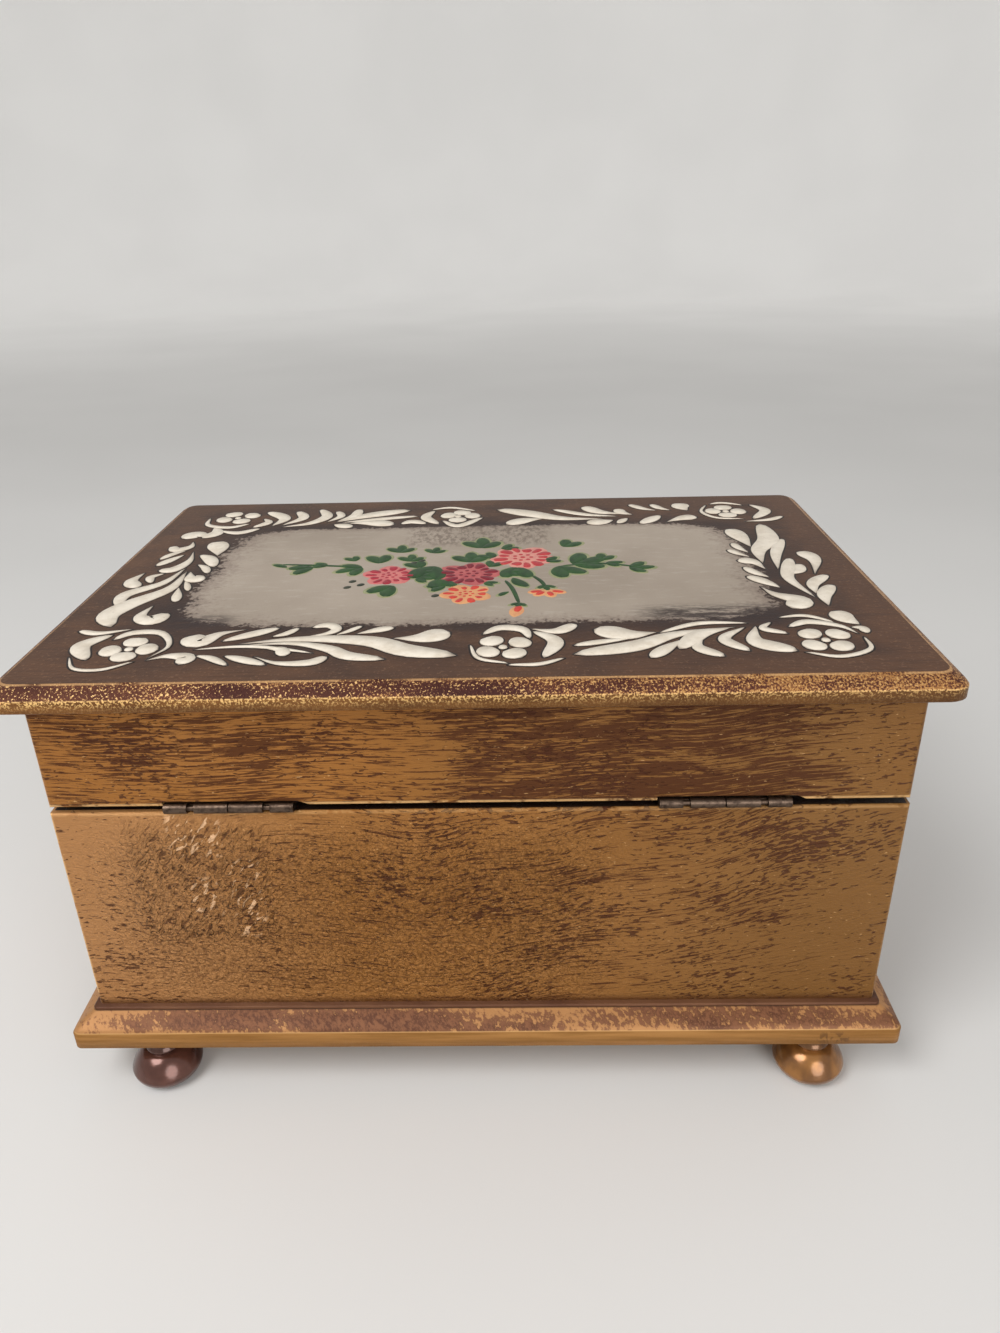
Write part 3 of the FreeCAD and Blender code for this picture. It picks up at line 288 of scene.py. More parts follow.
def crowded(number, count, power):
    """A place from -1 to 1 for one of a row of points that crowd towards both ends."""
    plain = -1 + 2 * number / count
    return copysign(1 - (1 - abs(plain)) ** power, plain)


def smooth_line(points, count):
    """Points spread along a smooth curve that passes through the given ones."""
    ends = [2 * points[0] - points[1], *points, 2 * points[-1] - points[-2]]
    spots = []
    for step in range(count + 1):
        place = step / count * (len(points) - 1)
        index = min(int(place), len(points) - 2)
        t = place - index
        a, b, c, d = ends[index:index + 4]
        spots.append(0.5 * (2 * b + (c - a) * t + (2 * a - 5 * b + 4 * c - d) * t * t
                            + (3 * b - a - 3 * c + d) * t ** 3))
    return spots


# Sizes read from the frame, and sizes of the mouldings

lid_low, lid_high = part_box("lid_plate")
base_low, base_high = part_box("base_plate")
rim_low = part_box("rim_back")[0]
wall_low, wall_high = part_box("back_panel")
SQUARE = ((-1, -1), (1, -1), (1, 1), (-1, 1))
LID_BAND = 3.5 * MM
LID_RUN = 4.1 * MM
LID_CORNER = 5 * MM
BASE_BAND = 5.9 * MM
BASE_SLOPE = 4.1 * MM
BASE_RUN = 5.5 * MM
BASE_CORNER = 2.4 * MM
RELIEF = 0.42 * MM
paint_level = lid_high.z - RELIEF
CASE_X = 115 * MM
CASE_Y = wall_high.y
WORN_EDGE = 0.9 * MM
SHARP_EDGE = 0.3 * MM

# Screen colours of the painted box

GOLD = (156, 107, 56)
DEEP_GOLD = (142, 94, 43)
RIM_GOLD = (154, 100, 43)
SHADED_GOLD = (108, 75, 35)
# Painted light: the paler gold of the case's lit side
LIT_SIDE_GOLD = (166, 118, 72)
BRIGHT_GOLD = (222, 178, 120)
STREAK = (68, 32, 12)
# Painted shade for the gap between the case and the lid
GAP_SHADE_BROWN = (38, 25, 18)
PLUM = (62, 29, 23)
PLUM_BROWN = (90, 50, 35)
LID_BROWN = (92, 63, 44)
LID_DARK = (71, 49, 37)
CREAM = (230, 220, 204)


# Finishes of the wood

def make_case_gilt():
    """Antique gold glaze over wood: level brown grain, pores, wrinkled paint, gouges and worn edges. Light
    and shade are painted in too: a paler lit side and a darker far side, highlights on the gouges and
    edges, and shade in the wrinkles, the dents, the gap and at the foot of the walls.
    """
    f = Finish("antique_gold", roughness=0.42, metallic=0.22, Specular_IOR_Level=0.2)
    x, y, z = f.axes()
    in_rim = z.step(wall_high.z, rim_low.z)
    in_case = z.step(rim_low.z, wall_high.z)
    at_back = y.step_mm(70, 76)
    in_middle = x.between(-95 * MM, 20 * MM, 20 * MM)
    broad = f.wall_noise(14, 20, 3)
    f.paint(f.mix(broad.step(), DEEP_GOLD, GOLD))
    f.lay(in_rim * 0.6, RIM_GOLD)
    f.lay(in_rim * in_middle * 0.35, SHADED_GOLD)
    # Painted light and shade: the case is paler on its lit side (+X) and darker towards -X.
    f.lay(x.step_mm(20, -100) * 0.7, SHADED_GOLD)
    f.lay(x.step_mm(30, 100) * in_case, LIT_SIDE_GOLD)
    wave = (f.wall_noise(15, 6, 1) - 0.5) * 0.022
    slant = x * 0.14 * (x.step_mm(50, -30) * at_back)
    bend = (wave + slant) * (0.4 + in_case * 0.6)
    smooth_side = x.step_mm(30, 80) * in_case
    grain = f.wall_noise(85, 1900, 6, 0.68, 0.1, bend=bend)
    patch = f.wall_noise(20, 75, 3) - 0.5
    lean = patch * (0.35 + in_rim * 0.1)
    lean += in_rim * (0.065 + in_middle * 0.06)
    lean -= x.step_mm(-80, -105) * 0.1
    lean -= smooth_side * 0.08
    dark = (grain + lean).step(0.555, 0.61)
    f.lay(dark * 0.86, STREAK)
    ticks = f.wall_noise(340, 1400, 2, 0.5, 0.5, bend=bend)
    cluster = (f.wall_noise(26, 48, 2) - 0.5) * 0.5
    cluster += in_middle * z.between(40 * MM, 85 * MM, 12 * MM) * 0.03
    cluster -= smooth_side * 0.06
    pores = (ticks + cluster).step(0.6, 0.64)
    f.lay(pores * 0.85, STREAK)
    gleam = f.wall_noise(420, 1500, 3, 0.6).step(0.67, 0.72)
    f.lay(gleam * 0.45, BRIGHT_GOLD)
    wrinkled = x.between(-30 * MM, 102 * MM, 20 * MM) * z.between(30 * MM, 88 * MM, 12 * MM)
    wrinkled *= at_back
    peel = f.noise(760, 2, 0.5, 0.9)
    # Painted shade in the valleys of the wrinkled paint.
    f.lay(peel.step(0.46, 0.38) * wrinkled * 0.42, STREAK)
    down = z * 0.82 - x * 0.57
    across = x * 0.82 + z * 0.57
    slanting = {0: down * 260, 1: across * 760, 2: 0.0}
    gouge = f.noise_at(f.node("CombineXYZ", slanting), 2, 0.5, 0.5)
    knocks = [[side * MM for side in box] for box in ((70, 84, 81, 94), (73, 81, 60, 73), (61, 69, 53, 79))]
    gouge_highlights = patches(x, z, 1.5 * MM, *knocks) * at_back
    dented = patches(x, z, 4 * MM, (58 * MM, 96 * MM, 52 * MM, 92 * MM)) * at_back
    # Painted highlights on the gouges, and painted shade in the dents.
    f.lay(gouge.step(0.57, 0.605) * gouge_highlights * 0.85, (226, 182, 140))
    f.lay(gouge.step(0.39, 0.35) * dented * 0.7, STREAK)
    at_side = abs(x).step(CASE_X - WORN_EDGE, CASE_X - SHARP_EDGE)
    at_face = abs(y).step(CASE_Y - WORN_EDGE, CASE_Y - SHARP_EDGE)
    # Worn gilt on the corners, the rim's lower edge and the case's top edge, partly painted highlight:
    # strongest at the lit back corner.
    corner = at_side * at_face * (0.2 + x.step(0, 100 * MM) * at_back * 0.7)
    rim_lip = z.between(rim_low.z + 0.4 * MM, rim_low.z + 1.4 * MM, 0.3 * MM)
    case_lip = z.between(wall_high.z - WORN_EDGE, wall_high.z, 0.2 * MM) * 0.2
    worn_and_lit_chips = f.wall_noise(170, 190, 3, 0.65).step(0.36, 0.5)
    f.lay(corner.most(rim_lip.most(case_lip) * 0.85) * worn_and_lit_chips, BRIGHT_GOLD)
    # Painted shade: the walls darken towards their foot, where they meet the base.
    f.lay(z.step(wall_low.z + 3 * MM, wall_low.z) * 0.7, STREAK)
    # Painted shade in the gap between case and rim: its edge faces are near-black brown, but the outer
    # strip of the case's top edge keeps its gold.
    gap_shade = z.between(wall_high.z - 0.2 * MM, rim_low.z + 0.3 * MM, 0.15 * MM)
    tight_end = x.step_mm(64, 68) * at_back * (1.3 * MM)
    at_lip = (abs(y) + tight_end).step(CASE_Y - WORN_EDGE, CASE_Y - SHARP_EDGE)
    gap_shade *= at_side.most(at_lip).step(0.5, 0.0)
    f.lay(gap_shade, GAP_SHADE_BROWN)
    f.rough(dark, 0.38, 0.6)
    f.bump(grain, 0.3 * MM)
    f.bump(1.0 - pores, 0.25 * MM)
    f.bump(peel * wrinkled, 2.2 * MM)
    f.bump(gouge * dented, 2.4 * MM)
    return f


def make_lid_slope():
    """The lid's moulded edge: a glittering gold band and a dark slope, more golden to one side."""
    f = Finish("lid_edge_gilt", roughness=0.42, metallic=0.2, Specular_IOR_Level=0.2)
    x, y, z = f.axes()
    band_top = lid_low.z + LID_BAND
    side = x.step_mm(130, -130)
    speck = f.noise(1800, 3, 0.65)
    cloud = f.wall_noise(30, 130, 3)
    middle = z.between(band_top + 0.6 * MM, paint_level - 1.1 * MM, 0.7 * MM)
    edge = 0.588 - side * 0.118
    edge -= (cloud - 0.5) * 0.35
    edge += middle * 0.05
    flecks = (speck - edge).step(-0.005, 0.02)
    dark = f.mix(cloud.step(), PLUM, PLUM_BROWN)
    gold = f.mix(speck.step(0.56, 0.66), (170, 120, 68), (240, 198, 134))
    gold = f.mix(side * 0.55, gold, (158, 112, 64))
    half_tone = (speck - edge).step(-0.09, -0.01)
    dark = f.mix(half_tone * 0.45, dark, (134, 86, 58))
    f.paint(f.mix(flecks, dark, gold))
    streaks = f.wall_noise(28, 420, 3)
    band = f.mix(streaks.step(0.35, 0.7), (100, 63, 30), (134, 89, 45))
    band = f.mix(side * 0.65, band, (88, 57, 27))
    glitter = speck.step(0.52, 0.57) * (0.95 - side * 0.55)
    glitter *= 0.12 + z.step(lid_low.z + 0.8 * MM, band_top)
    band = f.mix(glitter, band, (234, 190, 122))
    f.lay(z.step(band_top + 0.1 * MM, band_top - 0.1 * MM), band)
    glint = z.between(band_top - 0.15 * MM, band_top + 0.2 * MM, 0.1 * MM) * speck.step(0.42, 0.5)
    f.lay(glint * 0.7, (226, 182, 118))
    # A thin pale line on the top edge of the slope, broken in places: partly worn gilt, partly painted
    # highlight.
    rubbed_and_lit = f.wall_noise(70, 60, 3).step(0.36, 0.5)
    top_line = z.between(paint_level - 0.3 * MM, paint_level + MM, 0.08 * MM) * rubbed_and_lit
    f.lay(top_line * 0.65, (204, 160, 110))
    f.rough(flecks, 0.5, 0.36)
    f.bump(speck, 0.3 * MM)
    f.bump(cloud, 0.3 * MM)
    return f


def make_base_finish():
    """The base moulding: a smooth gold band, a slope brushed with purple brown, and a dark ledge, with
    painted shade in the corner below it.
    """
    f = Finish("base_gilt", roughness=0.42, metallic=0.22, Specular_IOR_Level=0.2)
    x, y, z = f.axes()
    band_top = base_low.z + BASE_BAND
    slope_top = band_top + BASE_SLOPE
    brush = f.wall_noise(620, 240, 5, 0.7)
    cloud = f.wall_noise(30, 150, 3)
    streaks = f.wall_noise(22, 480, 3)
    band = f.mix(streaks.step(0.35, 0.7), (132, 90, 42), (160, 114, 62))
    knots = patches(x, z, MM, (-107 * MM, -98 * MM, base_low.z + MM, band_top - MM))
    knots *= f.noise((420, 420, 240), 2, 0.5, 1.5).step(0.5, 0.55)
    band = f.mix(knots * 0.6, band, (84, 54, 28))
    middle = z.between(band_top + 0.9 * MM, slope_top - 0.5 * MM, 0.7 * MM)
    inner = abs(x).step_mm(120, 85)
    share = cloud + (brush - 0.5) * 1.2
    share += middle * 0.1
    share += inner * 0.08
    plum = f.mix(brush.step(0.4, 0.62), (78, 44, 33), (122, 80, 56))
    slope = f.mix(share.step(0.52, 0.66) * 0.92, (172, 124, 78), plum)
    ledge = f.mix(cloud.step(), (84, 52, 36), (110, 74, 50))
    f.paint(f.mix(z.step(band_top - 0.1 * MM, band_top + 0.1 * MM), band, slope))
    f.lay(z.step(slope_top, slope_top + 0.25 * MM), ledge)
    glint = z.between(band_top - 0.15 * MM, band_top + 0.15 * MM, 0.1 * MM)
    f.lay(glint * 0.5, (206, 162, 106))
    # Painted shade: a thin dark line in the corner between the slope and the ledge.
    crease_shade = z.between(slope_top - 0.05 * MM, slope_top + 0.3 * MM, 0.12 * MM)
    f.lay(crease_shade * 0.75, (46, 29, 22))
    bare = f.mix(streaks, (128, 94, 60), (160, 122, 82))
    f.lay(z.step(base_low.z + 0.3 * MM, base_low.z), bare)
    f.rough(share, 0.36, 0.52)
    f.bump(brush, 0.16 * MM)
    f.bump(cloud, 0.3 * MM)
    return f


def make_lid_paint():
    """The lid's top: dark brown glaze round a worn grey panel with a soft dark edge and smudges."""
    f = Finish("lid_paint", roughness=0.5, Specular_IOR_Level=0.18)
    x, y, z = f.axes()
    fine = f.noise(1000, 3, 0.65)
    cloud = f.noise((40, 55, 40), 4, 0.6)
    brown = f.mix(cloud.step(), LID_DARK, LID_BROWN)
    brown = f.mix(x.step_mm(20, -120) * 0.6, brown, (88, 59, 41))
    brown = f.mix(fine.step(0.57, 0.66) * 0.4, brown, (132, 100, 76))
    drag = f.noise((60, 800, 60), 4, 0.65)
    brown = f.mix(drag.step(0.52, 0.64) * 0.4, brown, (58, 38, 29))
    panel_x, panel_y, squareness = 86.2 * MM, 45.3 * MM, 7.0
    wide = (abs(x) / panel_x) ** squareness
    deep = (abs(y) / panel_y) ** squareness
    ragged = (f.noise((70, 90, 60), 4, 0.7) - 0.5) * 1.2
    grain = (f.noise(620, 3, 0.7) - 0.5) * 1.2
    reach = wide + deep + (ragged + grain)
    inside = reach.step(1.12, 0.9)
    in_border = abs(x).step_mm(112, 104) * abs(y).step_mm(74, 66)
    smoky = in_border * f.noise((55, 75, 50), 4, 0.65).step(0.36, 0.62)
    brown = f.mix(smoky * 0.6, brown, (50, 34, 29))
    brown = f.mix(reach.step(3.2, 1.1) * 0.65, brown, (40, 28, 27))
    tint = f.noise((26, 20, 20), 3)
    panel = f.mix(tint.step(), (154, 141, 127), (169, 156, 142))
    rub = f.noise((160, 500, 100), 4, 0.65)
    panel = f.mix(rub.step(0.5, 0.75) * 0.3, panel, (190, 180, 168))
    panel = f.mix(reach.step(0.45, 1.0) * 0.5, panel, (112, 93, 84))
    patch = x.between(-23 * MM, 26 * MM, 3 * MM) * y.between(-47 * MM, -24 * MM, 4 * MM)
    worn = patch * f.noise((620, 300, 400), 4, 0.75).step(0.44, 0.58)
    panel = f.mix(worn * 0.65, panel, (96, 80, 69))
    f.paint(f.mix(inside, brown, panel))
    left_smudge = x.between(70 * MM, 88 * MM, 5 * MM) * y.between(37 * MM, 46 * MM, 3 * MM)
    right_smudge = x.between(-88 * MM, -48 * MM, 7 * MM) * y.between(35 * MM, 47 * MM, 4 * MM)
    brushed = f.noise((160, 700, 100), 4, 0.75).step(0.38, 0.56)
    smear = left_smudge.most(right_smudge) * brushed
    f.lay(smear * 0.88, (46, 34, 33))
    f.rough(inside, 0.46, 0.5)
    f.bump(fine, 0.08 * MM)
    f.bump(rub, 0.05 * MM)
    f.bump(inside, 0.12 * MM)
    return f


def make_cream():
    """Raised cream paint, darker low on its sides."""
    f = Finish("cream_paint", roughness=0.5, Specular_IOR_Level=0.3)
    z = f.axes()[2]
    grime = f.noise(240, 4, 0.65)
    f.paint(f.mix(grime.step(0.35, 0.7), CREAM, (214, 202, 184)))
    low = z.step(paint_level + 0.28 * MM, paint_level + 0.02 * MM)
    f.lay(low * 0.75, (120, 100, 84))
    f.lay(f.noise(700, 3, 0.7).step(0.62, 0.72) * 0.3, (158, 140, 120))
    f.bump(f.noise(420, 3), 0.1 * MM)
    return f


def make_paint(name, main, second, roughness=0.45):
    """Thin brushed paint that varies between two colours."""
    f = Finish(name, roughness=roughness, Specular_IOR_Level=0.2)
    f.paint(f.mix(f.noise((380, 190, 380), 4, 0.65).step(0.35, 0.68), main, second))
    f.bump(f.noise((900, 500, 900), 2), 0.03 * MM)
    return f


def make_foot_finish():
    """Glossy copper-brown varnish, purplish on one side and golden on the other, with painted shade low
    down and at the neck.
    """
    f = Finish("copper_varnish", roughness=0.22, metallic=0.55, Coat_Weight=0.35, Coat_Roughness=0.1)
    x, y, z = f.axes()
    cloud = f.noise((160, 160, 90), 3)
    f.paint(f.mix(x.step_mm(80, -80), (98, 62, 52), (158, 108, 56)))
    f.lay(cloud.step(0.42, 0.7) * 0.55, (66, 38, 30))
    # Painted shade: darker low down on each foot, and at its neck under the base.
    f.lay(z.step(2.5 * MM, 0) * 0.7, (44, 26, 20))
    f.lay(z.step_mm(10.5, 11.8) * 0.6, (56, 34, 26))
    f.bump(f.noise((260, 260, 900), 2), 0.06 * MM)
    return f


def make_plain_wood():
    f = Finish("bare_wood", roughness=0.6)
    grain = f.wall_noise(8, 320, 4, 0.6, 0.3)
    colours = f.node("ValToRGB", {0: grain})
    stops = colours.socket.node.color_ramp.elements
    stops.new(0.5)
    browns = ((0.3, (150, 112, 72)), (0.55, (184, 146, 100)), (0.75, (128, 90, 56)))
    for stop, (place, colour) in zip(stops, browns):
        stop.position = place
        stop.color = shade(*colour)
    f.paint(colours)
    f.bump(grain, 0.1 * MM)
    return f


# Finishes of the metal, cloth and glass

def make_metal(name, main, worn, roughness, metallic=1.0, scale=300, depth=0.04 * MM):
    f = Finish(name, roughness=roughness, metallic=metallic)
    cloud = f.noise(scale, 4, 0.6)
    f.paint(f.mix(cloud.step(0.4, 0.72), main, worn))
    f.rough(cloud, roughness * 0.75, roughness * 1.4)
    f.bump(f.noise((scale * 4, scale * 4, scale), 2), depth)
    return f


def make_velvet():
    wine, shadow = (122, 22, 38), (78, 10, 22)
    f = Finish("velvet", roughness=0.92, Sheen_Weight=0.4, Sheen_Roughness=0.4, Sheen_Tint=(224, 130, 140))
    pile = f.noise(2600, 2, 0.7)
    brushed = f.noise((45, 70, 60), 3, 0.6, 0.4)
    f.paint(f.mix(brushed.step(0.3, 0.8) * 0.6, wine, shadow))
    f.lay(pile.step(0.5, 0.7) * 0.35, shadow)
    f.bump(pile, 0.25 * MM)
    f.bump(brushed, 0.2 * MM)
    return f


def make_felt():
    f = Finish("felt", roughness=0.95, Sheen_Weight=0.3)
    pile = f.noise(2400, 3, 0.7)
    f.paint(f.mix(pile.step(0.4, 0.6), (96, 24, 30), (62, 14, 20)))
    f.bump(pile, 0.3 * MM)
    return f


def make_clear_plastic():
    f = Finish("clear_plastic", roughness=0.06, Transmission_Weight=0.94, IOR=1.49)
    f.paint(f.mix(f.noise(60, 2), (236, 240, 238), (248, 250, 249)))
    f.bump(f.noise(30, 2), 0.05 * MM)
    return f


def make_mirror():
    f = Finish("mirror", roughness=0.03, metallic=1.0)
    f.paint(f.mix(f.noise(25, 3).step(), (226, 230, 230), (236, 238, 238)))
    return f


BY_SLOT = {
    "case_gilt": make_case_gilt(),
    "lid_top": make_lid_paint(),
    "turned_wood": make_foot_finish(),
    "plain_wood": make_plain_wood(),
    "moulding": make_base_finish(),
    "hinge_metal": make_metal("aged_bronze", (98, 82, 70), (58, 47, 40), 0.38, scale=700),
    "brass": make_metal("brass", (206, 168, 92), (176, 134, 66), 0.26),
    "steel": make_metal("steel", (186, 188, 190), (150, 152, 156), 0.28),
    "cast_metal": make_metal("cast_metal", (164, 164, 162), (132, 132, 132), 0.48, 1.0, 900, 0.1 * MM),
    "frame_gilt": make_metal("gilt", (198, 158, 84), (150, 108, 52), 0.34, metallic=0.7),
    "velvet": make_velvet(),
    "felt": make_felt(),
    "clear_plastic": make_clear_plastic(),
    "mirror": make_mirror(),
    "dark_plastic": make_paint("dark_plastic", (34, 34, 36), (46, 46, 48), 0.4),
}
for row in frame["record"]["subparts"]:
    dress(frame["nodes"][row["node"]], BY_SLOT[row["material_slot"]])


# The lid's moulded top

def make_lid_plate():
    soft = 0.35 * MM
    lost_corner = 1.5 * MM
    top = paint_level - lid_low.z
    rows = [(soft, 0, LID_CORNER), (0, soft, LID_CORNER), (0, LID_BAND - 0.2 * MM, LID_CORNER)]
    rows += hollow_slope(0, LID_RUN, 0.6 * MM, LID_BAND, top - LID_BAND, LID_CORNER, lost_corner)
    rows.append((LID_RUN + 0.25 * MM, top, LID_CORNER - lost_corner - 0.1 * MM))
    moulding = slab(lid_low, lid_high, rows)
    plate = make_object("lid_moulding", moulding, "lid", "lid_top", sharp=50)
    dress(plate, make_lid_slope(), BY_SLOT["lid_top"])
    for face in plate.data.polygons:
        if face.normal.z > 0.95:
            face.material_index = 1
    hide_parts("lid_plate")


# The border is drawn on a grid. Its zero is near the far left corner of the lid, seen from the hinge side

GRID = 0.1675 * MM
GRID_WIDE = 1456
GRID_DEEP = 1012
GRID_TALLER = 1.015
FULLER = 0.99
PETAL = 37
EYE_DOT = 15
# How far across and how high each point of a stroke's round section lies
SECTION = ((-1, 0), (-0.92, 0.88), (0, 1), (0.92, 0.88), (1, 0))


def on_lid(column, row):
    """A place on the lid's top from a column and row of the drawing grid."""
    return Vector(((GRID_WIDE / 2 - column) * GRID, (row - GRID_DEEP / 2) * GRID * GRID_TALLER))


class Relief:
    """Raised strokes gathered into one mesh."""

    def __init__(self, height, sunk=0.05 * MM, grow=0.0):
        self.height = height
        self.sunk = sunk
        self.grow = grow
        self.shape = ([], [])

    def stroke(self, width, places, lean, blunt=0.54, steps=18):
        """A brush stroke from thin tail to round head. A lean of 1 puts the widest part in the middle."""
        line = smooth_line([on_lid(*place) for place in places], steps)
        if self.grow:
            first, last = (line[0] - line[1]).normalized(), (line[-1] - line[-2]).normalized()
            line = [line[0] + first * self.grow] + line[1:-1] + [line[-1] + last * self.grow]
        points = []
        for index, spot in enumerate(line):
            share = index / steps
            along = (line[min(index + 1, steps)] - line[max(index - 1, 0)]).normalized()
            across = Vector((-along.y, along.x))
            swell = max(0.0, sin(pi * share ** lean)) ** blunt
            half = width * FULLER * GRID / 2 * swell + self.grow
            tall = self.height * min(1.0, 0.35 + 0.65 * swell) if 0 < index < steps else 0
            for side, lift in SECTION:
                point = spot + across * half * side
                points.append((point.x, point.y, paint_level - self.sunk + (tall + self.sunk) * lift))
        wide = len(SECTION)
        corners = [row * wide + side for row in range(steps) for side in range(wide - 1)]
        add(self.shape, (points, [(a, a + 1, a + wide + 1, a + wide) for a in corners]))

    def dab(self, column, row, long, wide, angle):
        """An oval dab of paint."""
        way = Vector((cos(radians(angle)), sin(radians(angle)))) * long / 2
        places = [(column - way.x, row - way.y), (column, row), (column + way.x, row + way.y)]
        self.stroke(wide, places, 1.0, 0.5, 10)

    def roundel(self, column, row, petals):
        """A small flower: oval petals round a dot."""
        for place_x, place_y in petals:
            angle = degrees(atan2(place_y - row, place_x - column))
            self.dab(place_x, place_y, PETAL, PETAL * 1.12, angle)
        self.dab(column, row, EYE_DOT, EYE_DOT, 0)

    def make(self, name, finish):
        make_object(name, self.shape, "lid", "lid_top", finish, sharp=80)


